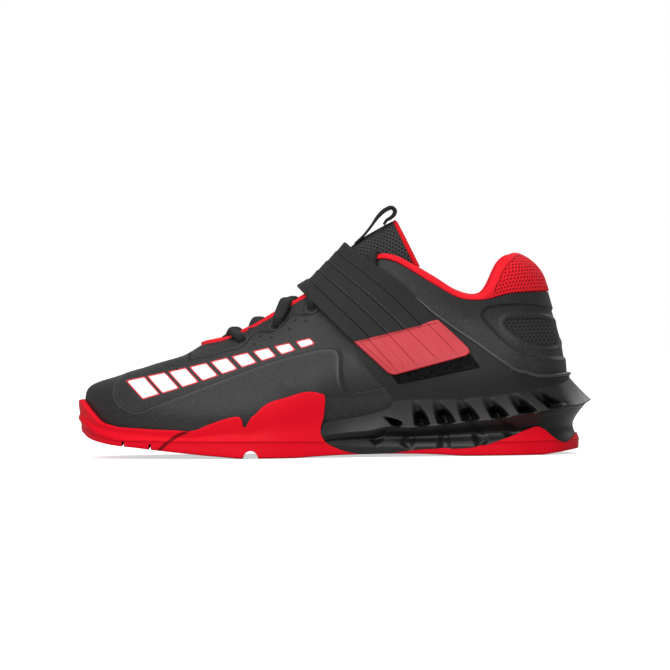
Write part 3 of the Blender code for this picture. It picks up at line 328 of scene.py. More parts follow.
def wall(q, level):
    """The upper's outer face: from the foot of the wall towards its edge by the way in and the way up at
    each station, and out along the plan's direction by the swell."""
    edge_x, edge_y, out_x, out_y = plan(q)
    inset = BALL_WIDTH * around(PLAN, 4, 4, q)
    foot_x, foot_y = edge_x - out_x * inset, edge_y - out_y * inset
    low = height_at(FLOOR, foot_x) + GAP
    top_x = LENGTH * around(TOPLINE, 1, 1, q)
    top_y = BALL_WIDTH * around(TOPLINE, 2, 3, q)
    top_z = HEIGHT * around(TOPLINE, 4, 4, q)
    marks = column(WAY, 0)
    way_in = way_up = swell = 0.0
    for n, share in enumerate(shares_of_stations(q)):
        way_in = way_in + share * spline(marks, column(WAY, 1 + 2 * n), level)
        way_up = way_up + share * spline(marks, column(WAY, 2 + 2 * n), level)
        swell = swell + share * spline(marks, column(SWELL, 1 + n), level) * BALL_WIDTH
    x = foot_x + (top_x - foot_x) * way_in + out_x * swell
    y = foot_y + (top_y - foot_y) * way_in + out_y * swell
    return np.stack([x, y, low + (top_z - low) * way_up], axis=-1)


def wall_normal(q, level):
    round_ = wall(q + 0.35, level) - wall(q - 0.35, level)
    up = wall(q, np.clip(level + 0.025, 0, 1)) - wall(q, np.clip(level - 0.025, 0, 1))
    normal = np.cross(round_, up)
    return normal / np.linalg.norm(normal, axis=-1)[..., None]


def skin(q, level, lift=0.0):
    """Points over the upper's wall, moved outwards by the lift."""
    q, level = np.broadcast_arrays(np.asarray(q, float), np.asarray(level, float))
    return wall(q, level) + wall_normal(q, level) * np.asarray(lift)[..., None]


EDGE_Y = edge_of(np.linspace(0, TURN, 81)[:-1])[1]
MIDDLE_Y = 0.5 * (EDGE_Y.min() + EDGE_Y.max())
MAP_Q, MAP_LEVEL = np.meshgrid(np.linspace(0.0, TURN, 113), np.linspace(0, 1, 25))
MAP = wall(MAP_Q, MAP_LEVEL)


def find(points, side):
    """The (q, level) at which the wall of one side shows at places in the side view: the nearest place of
    a coarse map, then Newton's steps on x and z."""
    points = np.asarray(points, float)
    half = (MAP_Q <= 14.0) if side < 0 else (MAP_Q >= 14.0)
    spots = MAP[half]
    nearest = np.concatenate([
        np.argmin((some[:, :1] - spots[:, 0]) ** 2 + (some[:, 1:] - spots[:, 2]) ** 2, axis=1)
        for some in np.array_split(points, 1 + len(points) // 2000)
    ])
    q, level = MAP_Q[half][nearest], MAP_LEVEL[half][nearest]
    low, high = (0.02, 13.98) if side < 0 else (14.02, 27.98)
    for _ in range(8):
        here = wall(q, level)
        by_q = (wall(q + 0.01, level) - here) / 0.01
        by_level = (wall(q, level + 0.001) - wall(q, level - 0.001)) / 0.002
        miss_x, miss_z = points[:, 0] - here[:, 0], points[:, 1] - here[:, 2]
        spread = by_q[:, 0] * by_level[:, 2] - by_q[:, 2] * by_level[:, 0]
        spread = np.where(np.abs(spread) < 1e-7, 1e-7, spread)
        q = q + np.clip((miss_x * by_level[:, 2] - miss_z * by_level[:, 0]) / spread, -0.4, 0.4)
        level = level + np.clip((by_q[:, 0] * miss_z - by_q[:, 2] * miss_x) / spread, -0.08, 0.08)
        q, level = np.clip(q, low, high), np.clip(level, 0.002, 0.998)
    return q, level


def outline(table):
    return np.array([(LENGTH * x, HEIGHT * z) for x, z in table])


def rounded(corners, radius, count=9):
    """A closed outline with each corner turned into an arc-like curve that starts a radius before it."""
    corners = np.asarray(corners, float)
    before, after = np.roll(corners, 1, axis=0) - corners, np.roll(corners, -1, axis=0) - corners
    reach = np.minimum(radius, 0.45 * np.minimum(np.linalg.norm(before, axis=1), np.linalg.norm(after, axis=1)))
    before = before / np.linalg.norm(before, axis=1)[:, None] * reach[:, None]
    after = after / np.linalg.norm(after, axis=1)[:, None] * reach[:, None]
    t = np.linspace(0, 1, count)[None, :, None]
    return (corners[:, None] + before[:, None] * (1 - t) ** 2 + after[:, None] * t**2).reshape(-1, 2)


def resampled(line, count, closed=False):
    """The line's points moved to even distances along it."""
    line = np.asarray(line, float)
    if closed:
        line = np.concatenate([line, line[:1]])
    gone = np.concatenate([[0], np.cumsum(np.linalg.norm(np.diff(line, axis=0), axis=1))])
    at = np.linspace(0, gone[-1], count + 1)[:-1] if closed else np.linspace(0, gone[-1], count)
    return np.stack([np.interp(at, gone, line[:, n]) for n in range(line.shape[1])], axis=1)


def smooth_line(line, count):
    """A smooth curve through the points, at even distances along it."""
    line = np.asarray(line, float)
    gone = np.concatenate([[0], np.cumsum(np.linalg.norm(np.diff(line, axis=0), axis=1))])
    at = np.linspace(0, gone[-1], 6 * count)
    return resampled(np.stack([spline(gone, line[:, n], at) for n in range(line.shape[1])], axis=1), count)


def distance_to(points, line, closed=False):
    """Distance to a line in the side view, less than nothing inside a closed one or left of an open one."""
    line = np.asarray(line, float)
    ends = np.roll(line, -1, axis=0) if closed else line[1:]
    starts = line if closed else line[:-1]
    best = np.full(len(points), 1e9)
    sign = np.ones(len(points))
    inside = np.zeros(len(points), bool)
    for a, b in zip(starts, ends):
        way = b - a
        from_a = points - a
        t = np.clip(from_a @ way / (way @ way), 0, 1)
        away = np.hypot(*(from_a - t[:, None] * way).T)
        left = way[0] * from_a[:, 1] - way[1] * from_a[:, 0]
        nearer = away < best
        best = np.where(nearer, away, best)
        sign = np.where(nearer, np.where(left > 0, -1.0, 1.0), sign)
        crosses = (a[1] > points[:, 1]) != (b[1] > points[:, 1])
        height = np.where(abs(way[1]) < 1e-12, 1e-12, way[1])
        inside ^= crosses & (points[:, 0] < a[0] + way[0] * (points[:, 1] - a[1]) / height)
    return np.where(inside, -best, best) if closed else sign * best


def eased(value, low, high):
    """Nothing below low, one above high, with a smooth rise between them."""
    t = np.clip((value - low) / (high - low), 0, 1)
    return t * t * (3 - 2 * t)


def placed(points):
    """From lengths measured from the toe to the frame's origin, under the middle of the shoe."""
    points = np.array(points, float)
    points[..., 0] -= LENGTH / 2
    points[..., 1] -= MIDDLE_Y
    return points


def grid_faces(height, width, wrap=False, tall_wrap=False):
    """Four-sided faces between the rows and columns of a grid."""
    row = np.arange(height if tall_wrap else height - 1)
    col = np.arange(width if wrap else width - 1)
    r, c = np.meshgrid(row, col, indexing="ij")
    r2, c2 = (r + 1) % height, (c + 1) % width
    return np.stack([r * width + c, r * width + c2, r2 * width + c2, r2 * width + c], axis=-1).reshape(-1, 4)


def make(name, points, faces, finish, uv=None, fields=None, sharp=None, ride=True):
    """One piece from its points and faces, with its own attributes, riding on the shoe's body."""
    mesh = bpy.data.meshes.new(name)
    mesh.from_pydata(points.tolist(), [], [list(f) for f in faces])
    if uv is not None:
        layer = mesh.uv_layers.new(name="UVMap")
        layer.data.foreach_set("uv", np.asarray(uv, np.float32).reshape(-1))
    for field, values in (fields or {}).items():
        kept = mesh.attributes.new(field, "FLOAT", "POINT")
        kept.data.foreach_set("value", np.asarray(values, np.float32).reshape(-1))
    mesh.shade_smooth()
    if sharp is not None:
        mesh.set_sharp_from_angle(angle=np.radians(sharp))
    mesh.materials.append(finish)
    made = bpy.data.objects.new(name, mesh)
    bpy.context.scene.collection.objects.link(made)
    if ride:
        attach(made, "root")
    return made


def lengths_along(points, axis):
    """Distance travelled along one direction of a grid, the mean over the other."""
    step = np.linalg.norm(np.diff(points, axis=axis), axis=2).mean(axis=1 - axis)
    return np.concatenate([[0], np.cumsum(step)])


def grid_piece(name, points, finish, wrap=False, tall_wrap=False, fields=None, sharp=None, flip=False,
               along=None, close=False):
    """A piece from a grid of points, with a map in metres that follows its rows and columns. Distances along
    the rows are a mean over all of them, or those of one row given. A closed piece gets its ends filled."""
    height, width = points.shape[:2]
    looped = np.concatenate([points, points[:, :1]], axis=1) if wrap else points
    looped = np.concatenate([looped, looped[:1]], axis=0) if tall_wrap else looped
    u = lengths_along(looped if along is None else along[None], 1)
    down = np.linalg.norm(np.diff(looped, axis=0), axis=2)
    v = np.concatenate([np.zeros((1, looped.shape[1])), np.cumsum(down, axis=0)])
    faces = grid_faces(height, width, wrap, tall_wrap)
    r, c = np.meshgrid(np.arange(height if tall_wrap else height - 1),
                       np.arange(width if wrap else width - 1), indexing="ij")
    cols = np.stack([c, c + 1, c + 1, c], axis=-1).reshape(-1, 4)
    rows = np.stack([r, r, r + 1, r + 1], axis=-1).reshape(-1, 4)
    if flip:
        faces, cols, rows = faces[:, ::-1], cols[:, ::-1], rows[:, ::-1]
    uv = np.stack([u[cols], v[rows, cols]], axis=-1)
    made = make(name, placed(points).reshape(-1, 3), faces, finish, uv, fields, sharp)
    if close:
        turned_out(made)
    return made


class Wire:
    """One output of a node. Sums, products and the like of wires and numbers add Math nodes."""

    def __init__(self, paint, socket):
        self.paint = paint
        self.socket = socket

    def __add__(self, other):
        return self.paint.maths("ADD", self, other)

    def __radd__(self, other):
        return self.paint.maths("ADD", other, self)

    def __sub__(self, other):
        return self.paint.maths("SUBTRACT", self, other)

    def __rsub__(self, other):
        return self.paint.maths("SUBTRACT", other, self)

    def __mul__(self, other):
        return self.paint.maths("MULTIPLY", self, other)

    def __rmul__(self, other):
        return self.paint.maths("MULTIPLY", other, self)

    def __truediv__(self, other):
        return self.paint.maths("DIVIDE", self, other)

    def __abs__(self):
        return self.paint.maths("ABSOLUTE", self)


class Paint:
    """A material on its way: every node comes from node(), which takes settings first and inputs after."""

    def __init__(self, name, constants):
        self.material = bpy.data.materials.new(name)
        self.material.use_nodes = True
        self.tree = self.material.node_tree
        self.shader = self.tree.nodes["Principled BSDF"]
        for key, value in constants.items():
            self.shader.inputs[key].default_value = (*value, 1.0) if isinstance(value, tuple) else value

    def node(self, kind, settings=None, inputs=None, out=0):
        made = self.tree.nodes.new(kind)
        for key, value in (settings or {}).items():
            setattr(made, key, value)
        for key, value in (inputs or {}).items():
            if isinstance(value, Wire):
                self.tree.links.new(value.socket, made.inputs[key])
            elif value is not None:
                made.inputs[key].default_value = value
        return Wire(self, made.outputs[out])

    def maths(self, operation, *values):
        return self.node("ShaderNodeMath", {"operation": operation}, dict(enumerate(values)))

    def place(self, scale=(1.0, 1.0, 1.0), turn=(0.0, 0.0, 0.0), flat=False):
        """Object coordinates, or the piece's own map, scaled and turned."""
        where = self.node("ShaderNodeTexCoord", out="UV" if flat else "Object")
        return self.node("ShaderNodeMapping", inputs={"Vector": where, "Rotation": turn, "Scale": scale})

    def field(self, name):
        return self.node("ShaderNodeAttribute", {"attribute_name": name}, out="Fac")

    def rise(self, value, low, high):
        """Nothing below low, one above high, smooth between."""
        return self.node("ShaderNodeMapRange", {"interpolation_type": "SMOOTHSTEP"},
                         {"Value": value, "From Min": low, "From Max": high})

    def line(self, value, half, soft):
        """One on a line where the value is nothing, gone beyond its half width."""
        return 1.0 - self.rise(abs(value), half - soft, half + soft)

    def noise(self, where, scale, detail=3.0, rough=0.55):
        return self.node("ShaderNodeTexNoise", None,
                         {"Vector": where, "Scale": scale, "Detail": detail, "Roughness": rough})

    def cells(self, where, scale, feature="F1", random=1.0):
        return self.node("ShaderNodeTexVoronoi", {"feature": feature},
                         {"Vector": where, "Scale": scale, "Randomness": random}, out="Distance")

    def holes(self, where, pitch):
        """Round holes in staggered rows: the sum of three waves a third of a turn apart."""
        across, up = (self.node("ShaderNodeSeparateXYZ", None, {0: where}, out=n) for n in (0, 1))
        wave = 4 * np.pi / (np.sqrt(3) * pitch)
        total = self.maths("COSINE", up * wave)
        for way in (1, -1):
            total = total + self.maths("COSINE", (across * (way * np.sqrt(3) / 2) + up * 0.5) * wave)
        return total

    def blend(self, share, first, second):
        colours = {6: (*first, 1.0) if isinstance(first, tuple) else first,
                   7: (*second, 1.0) if isinstance(second, tuple) else second}
        return self.node("ShaderNodeMix", {"data_type": "RGBA"}, {0: share, **colours}, out=2)

    def bump(self, height, distance, strength=1.0, under=None):
        return self.node("ShaderNodeBump", None,
                         {"Height": height, "Distance": distance, "Strength": strength, "Normal": under})

    def finish(self, links):
        for key, value in links.items():
            self.tree.links.new(value.socket, self.shader.inputs[key])
        return self.material


def leather():
    """Matte dark grey synthetic leather: fine grain, soft wear, and the lines worked into it, with painted shade along
    the lines and in the holes and a painted highlight beside the panel's crease.
    """
    paint = Paint("grey_leather", {"Specular IOR Level": 0.40})
    where = paint.place()
    grain = paint.cells(where, 1500.0)
    cloud = paint.noise(where, 55.0, 4.0, 0.6)
    fine = paint.noise(where, 900.0, 2.0, 0.5)
    blocks = paint.field("blocks")
    white = 1.0 - paint.rise(blocks, -0.00010, 0.00010)
    red = 1.0 - paint.rise(blocks, 0.00062, 0.00078)
    hole = 1.0 - paint.rise(paint.field("pinhole"), 0.00070, 0.00100)
    eye = paint.field("eyelet")
    hole = paint.maths("MAXIMUM", hole, 1.0 - paint.rise(eye, 0.0023, 0.0027))
    wave = paint.field("wave")
    panel = paint.field("panel")
    window = paint.field("window")
    mesh = 1.0 - paint.rise(paint.field("window_mesh"), -0.0001, 0.0001)
    # painted shade: the next three are dark lines along the eyestay's step, the panel's crease and the window's recess
    # edge
    seam = paint.line(wave, 0.00022, 0.00018)
    crease = paint.line(panel, 0.00020, 0.00020)
    frame_line = paint.line(window, 0.00022, 0.00020)
    pore = paint.rise(paint.holes(paint.place(turn=(np.pi / 2, 0.0, 0.0)), 0.0024), 0.2, 1.1)
    base = paint.blend(cloud, (0.007, 0.007, 0.0073), (0.016, 0.016, 0.0164))
    base = paint.blend(paint.rise(fine, 0.42, 0.72) * 0.45, base, (0.040, 0.040, 0.042))
    # painted highlight: a lighter band along the raised side of the panel's crease
    base = paint.blend(paint.line(panel - 0.0006, 0.0006, 0.0005) * 0.35, base, (0.075, 0.075, 0.078))
    # painted shade: the mesh's holes drawn near black
    base = paint.blend(mesh, base, paint.blend(pore, (0.017, 0.017, 0.0175), (0.0005, 0.0005, 0.0005)))
    # painted shade: a dark band along the step down into the mesh
    mesh_step_shade = paint.line(paint.field("window_mesh") - 0.0004, 0.0005, 0.0003)
    base = paint.blend(mesh_step_shade * 0.9, base, (0.002, 0.002, 0.002))
    gloss = paint.rise(0.0 - paint.field("saddle"), -0.0006, 0.0010)
    base = paint.blend(gloss * 0.7, base, (0.009, 0.009, 0.0095))
    # painted shade of the three edge lines, drawn near black
    dark = paint.maths("MAXIMUM", seam, paint.maths("MAXIMUM", crease * 0.6, frame_line))
    base = paint.blend(dark * 0.85, base, (0.003, 0.003, 0.003))
    base = paint.blend(red, base, (0.62, 0.030, 0.045))
    base = paint.blend(white, base, (0.82, 0.82, 0.82))
    # painted shade: the pinholes and the eyelets where the laces go in drawn near black, with no hole in the shape
    base = paint.blend(hole, base, (0.0005, 0.0005, 0.0005))
    rough = 0.50 + cloud * 0.12 + mesh * 0.25 - white * 0.12 - gloss * 0.16
    relief = paint.bump(grain + fine * 0.6, 0.00010, 0.55)
    step = paint.rise(wave, -0.0004, 0.0004) * 0.5 - dark - hole * 2.0 + red * 0.35
    step = step - mesh * pore * 1.5 + paint.rise(window, -0.0007, 0.0007) * 0.8
    relief = paint.bump(step, 0.00045, 1.0, relief)
    return paint.finish({"Base Color": base, "Roughness": rough, "Normal": relief})


def knit(name, light, dark, pitch, depth, seam=None):
    """Spacer mesh: staggered rows of small round holes in a thick knit, on the piece's own map, with fine
    ribs in their place on the near side of a seam."""
    paint = Paint(name, {"Specular IOR Level": 0.15})
    where = paint.place(flat=True)
    thread = paint.noise(where, 2600.0, 2.0)
    cloud = paint.noise(paint.place(), 90.0, 3.0)
    rows = paint.holes(where, pitch)
    hole = paint.rise(rows + thread * 0.5, 0.85, 1.70)
    height = 0.0 - rows * 0.30
    line = None
    if seam:
        across = paint.node("ShaderNodeSeparateXYZ", None, {0: where})
        place = paint.field(seam)
        panel = paint.rise(place, -0.0002, 0.0002)
        rib = paint.maths("SINE", across * (2 * np.pi / 0.00150))
        hole = hole * panel + paint.rise(rib, 0.2, 0.9) * 0.30 * (1.0 - panel)
        height = height * panel - rib * 0.25 * (1.0 - panel)
        line = paint.line(place, 0.00028, 0.00022)
        height = height - line * 1.2
    base = paint.blend(thread * 0.4 + cloud * 0.4, dark, light)
    # painted shade: the holes darkened to a fifth of the dark colour
    base = paint.blend(hole * 0.85, base, tuple(0.22 * c for c in dark))
    if seam:
        base = paint.blend(line * 0.6, base, tuple(0.4 * c for c in dark))
    relief = paint.bump(height + thread * 0.2, depth, 1.0)
    return paint.finish({"Base Color": base, "Roughness": 0.75 + thread * 0.2, "Normal": relief})


def webbing(name, light, dark, lines=None):
    """Close woven black band: a fine twill on the piece's own map, and raised stitches where it has them."""
    paint = Paint(name, {"Specular IOR Level": 0.25})
    where = paint.place(flat=True)
    twill = paint.node("ShaderNodeTexWave", {"wave_type": "BANDS", "bands_direction": "DIAGONAL"},
                       {"Vector": where, "Scale": 420.0, "Distortion": 1.2, "Detail": 1.0}, out="Fac")
    thread = paint.noise(paint.place((1.0, 3.0, 1.0), flat=True), 1800.0, 2.0)
    cloud = paint.noise(paint.place(), 120.0, 3.0)
    base = paint.blend(twill * 0.5 + thread * 0.3 + cloud * 0.2, dark, light)
    height = twill * 0.6 + thread * 0.7
    relief = paint.bump(height, 0.00016, 0.9)
    if lines:
        edge, stitch, along = (paint.field(n) for n in lines)
        crease = paint.line(edge, 0.00030, 0.00025)
        dash = paint.rise(paint.maths("PINGPONG", along, 0.00125), 0.00025, 0.00055)
        thread_line = paint.line(stitch, 0.00024, 0.00012) * dash
        # painted shade: a near-black line where each strip's edge overlaps the next
        base = paint.blend(crease * 0.9, base, (0.0015, 0.0015, 0.0015))
        base = paint.blend(thread_line, base, (0.075, 0.075, 0.075))
        relief = paint.bump(thread_line * 1.0 - crease, 0.00035, 1.0, relief)
    return paint.finish({"Base Color": base, "Roughness": 0.70 + thread * 0.2, "Normal": relief})


def tab_rubber():
    """Soft red moulded end of the strap: fine matte skin with slanted ribs and a border."""
    paint = Paint("red_tab", {"Specular IOR Level": 0.40})
    where = paint.place()
    fine = paint.noise(where, 1400.0, 3.0)
    cloud = paint.noise(where, 60.0, 3.0)
    rib = paint.field("rib")
    border = paint.field("border")
    step = paint.rise(rib, -0.0003, 0.0003)
    line = paint.line(rib, 0.00025, 0.0002)
    edge = paint.line(border, 0.00035, 0.0003)
    base = paint.blend(cloud * 0.6 + fine * 0.3, (0.50, 0.026, 0.038), (0.60, 0.040, 0.055))
    # painted shade: darker lines in the rib grooves and along the border's step
    base = paint.blend(line * 0.5 + edge * 0.4, base, (0.26, 0.010, 0.018))
    relief = paint.bump(fine, 0.00008, 0.5)
    relief = paint.bump(step * 0.5 - line * 0.5 + paint.rise(border, -0.0005, 0.0005) * 0.6, 0.0004, 1.0, relief)
    return paint.finish({"Base Color": base, "Roughness": 0.46 + fine * 0.15, "Normal": relief})


def rubber():
    """Red sole rubber: smooth and a little waxy, with a soft cloud and fine scuffs near the ground."""
    paint = Paint("red_rubber", {"Specular IOR Level": 0.08})
    where = paint.place()
    cloud = paint.noise(where, 45.0, 4.0)
    fine = paint.noise(where, 1100.0, 3.0)
    scuff = paint.noise(paint.place((1.0, 1.0, 6.0)), 260.0, 4.0, 0.7)
    base = paint.blend(cloud, (0.66, 0.002, 0.012), (0.76, 0.004, 0.018))
    base = paint.blend(paint.rise(scuff, 0.62, 0.80) * 0.10, base, (0.78, 0.10, 0.11))
    groove = paint.line(paint.field("groove"), 0.00080, 0.00030)
    # painted shade: the diagonal groove drawn dark red
    base = paint.blend(groove * 0.90, base, (0.12, 0.003, 0.006))
    step = paint.field("over_step")
    # painted shadow: a darker band just under the step along the side
    base = paint.blend(paint.line(step + 0.0006, 0.0006, 0.0005) * 0.35, base, (0.40, 0.002, 0.008))
    along, across = (paint.node("ShaderNodeSeparateXYZ", None, {0: where}, out=n) for n in (0, 1))
    zigzag = paint.maths("SINE", (along + paint.maths("PINGPONG", across, 0.006)) * (2 * np.pi / 0.0050))
    cut = paint.rise(zigzag, 0.1, 0.6) * paint.rise(paint.field("tread"), 0.5, 0.95)
    # painted shade: the zigzag cuts of the tread darkened
    base = paint.blend(cut * 0.6, base, (0.22, 0.002, 0.006))
    relief = paint.bump(fine + scuff * 0.5, 0.00009, 0.5)
    relief = paint.bump(0.0 - groove - cut, 0.0008, 1.0, relief)
    return paint.finish({"Base Color": base, "Roughness": 0.38 + cloud * 0.14 + fine * 0.08, "Normal": relief})


def plate(name, dark, light, upper):
    """Moulded frame of the heel: a near black satin skin, duller above the sharp edge, glossy in its pockets, with
    painted shade deepening the pockets and painted highlight streaks in them.
    """
    paint = Paint(name, {"Specular IOR Level": 0.28, "Coat Roughness": 0.20})
    where = paint.place()
    cloud = paint.noise(where, 40.0, 3.0)
    fine = paint.noise(where, 1500.0, 2.0)
    # painted highlights: streaks along the slant vary how dark and glossy the pockets are
    streak_highlight = paint.noise(paint.place((1.0, 0.4, 0.22), turn=(0.0, 0.40, 0.0)), 420.0, 3.0, 0.6)
    pocket = paint.field("pocket") * (0.75 + streak_highlight * 0.5)
    high = paint.rise(paint.field("above"), 0.000, 0.012)
    base = paint.blend(cloud, dark, light)
    base = paint.blend(high * 0.8, base, upper)
    # painted shade: the pockets darkened to near black as they deepen
    base = paint.blend(paint.rise(pocket, 0.12, 0.75) * 0.92, base, (0.0015, 0.0015, 0.0015))
    rough = 0.34 + high * 0.20 + cloud * 0.08 - pocket * 0.16
    relief = paint.bump(fine, 0.00007, 0.55)
    return paint.finish({"Base Color": base, "Roughness": rough, "Normal": relief,
                         "Coat Weight": 0.12 + pocket * 0.35 - high * 0.10})


def fuzz():
    """Black loop patch: a short dense pile."""
    paint = Paint("black_loops", {"Specular IOR Level": 0.10})
    where = paint.place()
    pile = paint.cells(where, 1900.0)
    tuft = paint.noise(where, 700.0, 4.0, 0.7)
    base = paint.blend(paint.rise(tuft, 0.35, 0.75), (0.002, 0.002, 0.002), (0.016, 0.016, 0.016))
    relief = paint.bump(pile + tuft, 0.0004, 1.0)
    return paint.finish({"Base Color": base, "Roughness": 0.85 + tuft * 0.1, "Normal": relief})


def lining(name, light, dark):
    """Thin smooth cloth inside the shoe."""
    paint = Paint(name, {"Specular IOR Level": 0.2})
    where = paint.place()
    weave = paint.cells(where, 1300.0, random=0.3)
    cloud = paint.noise(where, 70.0, 3.0)
    base = paint.blend(cloud * 0.6 + weave * 0.5, dark, light)
    relief = paint.bump(weave, 0.00015, 0.7)
    return paint.finish({"Base Color": base, "Roughness": 0.80 + cloud * 0.1, "Normal": relief})


LEATHER = leather()
RED_KNIT = knit("red_mesh", (0.95, 0.014, 0.026), (0.82, 0.006, 0.012), 0.0012, 0.0003)
COLLAR_KNIT = knit("red_collar_mesh", (0.95, 0.020, 0.036), (0.85, 0.010, 0.020), 0.0024, 0.0005, "collar_seam")
BLACK_KNIT = knit("black_mesh", (0.075, 0.075, 0.076), (0.032, 0.032, 0.0325), 0.0023, 0.0009)
BLACK_WEB = webbing("black_webbing", (0.034, 0.034, 0.0345), (0.006, 0.006, 0.0063),
                    ("strap_edge", "strap_stitch", "strap_along"))
LOOP_WEB = webbing("loop_webbing", (0.018, 0.018, 0.0185), (0.005, 0.005, 0.0055))
LACE_WEB = webbing("black_lace", (0.030, 0.030, 0.0305), (0.0030, 0.0030, 0.0033))
TAB_SKIN = tab_rubber()
RUBBER = rubber()
PLATE = plate("black_plate", (0.0045, 0.0047, 0.0045), (0.007, 0.0072, 0.0068), (0.010, 0.0102, 0.0097))
# the bead's paler grey is partly its own colour, partly a painted highlight along its ridge
BEAD = plate("bead_plate", (0.034, 0.034, 0.032), (0.050, 0.050, 0.047), (0.050, 0.050, 0.047))
FUZZ = fuzz()
INSIDE = lining("lining_cloth", (0.014, 0.014, 0.015), (0.006, 0.006, 0.0065))
RED_CLOTH = lining("red_lining", (0.86, 0.016, 0.028), (0.66, 0.008, 0.014))
SOLE_CLOTH = lining("insole_cloth", (0.050, 0.050, 0.052), (0.022, 0.022, 0.023))

Q = TURN * np.arange(COLUMNS) / COLUMNS
STATION = np.minimum(Q, TURN - Q)
# where the leather stops short of the red lining's edge at the throat
THROAT_DROP = 0.0019
STEP_AT_TOP = np.linalg.norm(wall(Q, np.full(COLUMNS, 1.0)) - wall(Q, np.full(COLUMNS, 0.98)), axis=1) / 0.02
LEATHER_TOP = 1.0 - 0.0004 / STEP_AT_TOP


def side_fields(q, points):
    """Distances that the leather's lines are drawn from, each in the side view of its own side."""
    seen = points[:, [0, 2]]
    tops = {"wave": outline(WAVE), "panel": outline(PANEL)}
    fields = {name: distance_to(seen, smooth_line(line, 70)) for name, line in tops.items()}
    fields["wave"] = np.where(seen[:, 0] < LENGTH * WAVE[0][0], np.abs(fields["wave"]), fields["wave"])
    fields["window"] = distance_to(seen, rounded(outline(WINDOW_OUT), 0.003), True)
    fields["window_mesh"] = distance_to(seen, rounded(outline(WINDOW_IN), 0.0015), True)
    fields["blocks"] = block_distance(seen)
    fields["saddle"] = distance_to(seen, rounded(outline(SADDLE), 0.004), True)
    holes = np.full(len(points), 1.0)
    for side in (-1, 1):
        spots = skin(*find(outline(PINHOLES), side))
        for spot in spots:
            holes = np.minimum(holes, np.linalg.norm(points - spot, axis=1))
    fields["pinhole"] = holes
    eyes = np.full(len(points), 1.0)
    for side in (-1, 1):
        for spot in skin(*find(outline(EYES), side)):
            eyes = np.minimum(eyes, np.linalg.norm(points - spot, axis=1))
    fields["eyelet"] = eyes
    return fields


def block_distance(seen):
    """Distance to a row of slanted blocks that grow smaller along their axis, less than nothing inside."""
    axis = smooth_line(outline(BLOCKS), 60)
    gone = np.concatenate([[0], np.cumsum(np.linalg.norm(np.diff(axis, axis=0), axis=1))])
    nearest = np.argmin(np.hypot(seen[:, None, 0] - axis[None, :, 0], seen[:, None, 1] - axis[None, :, 1]), axis=1)
    ahead = np.gradient(axis, axis=0)
    ahead /= np.linalg.norm(ahead, axis=1)[:, None]
    from_axis = seen - axis[nearest]
    along = gone[nearest] + np.sum(from_axis * ahead[nearest], axis=1)
    across = ahead[nearest, 0] * from_axis[:, 1] - ahead[nearest, 1] * from_axis[:, 0]
    share = np.clip(along / gone[-1], 0, 1)
    half = HEIGHT * (0.050 - 0.038 * share)
    count = 9
    place = along + 0.55 * across
    pitch = gone[-1] / count
    in_block = np.mod(place, pitch) - pitch / 2
    wide = pitch * (0.40 - 0.10 * share)
    inner = np.maximum(np.abs(in_block) - wide, np.abs(across) - half)
    ends = np.maximum(-place, place - gone[-1])
    return np.maximum(inner, ends)


def build_shell():
    """The leather: the wall's outer face with the eyestay's step, the heel's hollow and soft creases worked
    in, turned over at its top edge and taken down inside."""
    share = np.linspace(0, 1, ROWS)[:, None]
    level = share * LEATHER_TOP[None, :]
    q = np.broadcast_to(Q, level.shape)
    points = wall(q, level)
    flat = points.reshape(-1, 3)
    fields = side_fields(q.ravel(), flat)
    normal = wall_normal(q, level)
    station = np.minimum(q, TURN - q)
    wave = fields["wave"].reshape(q.shape)
    near = eased(station, 1.2, 2.4) * (1 - eased(station, 8.3, 8.8))
    lift = EYESTAY_STEP * near * (1 - eased(wave, -0.0006, 0.0006)) * eased(level, 0.5, 0.7)
    window = fields["window"].reshape(q.shape)
    lift = lift - 0.0011 * (1 - eased(window, -0.0014, 0.0003)) * eased(station, 10.0, 11.0)
    inner = fields["window_mesh"].reshape(q.shape)
    lift = lift + 0.0006 * (1 - eased(np.abs(inner - 0.0022), 0.0, 0.0020)) * eased(station, 10.0, 11.0)
    panel = fields["panel"].reshape(q.shape)
    lift = lift + 0.0004 * (1 - eased(np.abs(panel), 0.0, 0.0020)) * (1 - eased(station, 7.5, 8.2))
    eye = fields["eyelet"].reshape(q.shape)
    lift = lift + 0.0005 * eased(eye, 0.0021, 0.0032) * (1 - eased(eye, 0.0038, 0.0060))
    points = points + normal * lift[..., None]
    points[..., 2] -= THROAT_DROP * eased(level, 0.78, 1.0) * (1 - eased(station, 7.2, 8.0))
    top, top_normal = points[-1], normal[-1]
    up = points[-1] - points[-3]
    up /= np.linalg.norm(up, axis=1)[:, None]
    turned = [top + up * (0.0004 * np.sin(a)) - top_normal * (0.0006 * (1 - np.cos(a)))
              for a in np.radians((30, 60, 90, 130, 180))]
    inside = [skin(Q, LEATHER_TOP * v, -0.0014) for v in (0.99, 0.96, 0.9)]
    rows = np.concatenate([points, turned, inside])
    for name in fields:
        last = fields[name].reshape(q.shape)[-1:]
        extra = np.repeat(last, len(turned) + len(inside), axis=0)
        fields[name] = np.concatenate([fields[name].reshape(q.shape), extra])
    shell = grid_piece("upper_shell", rows, LEATHER, wrap=True, fields=fields)
    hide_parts("upper")
    return shell


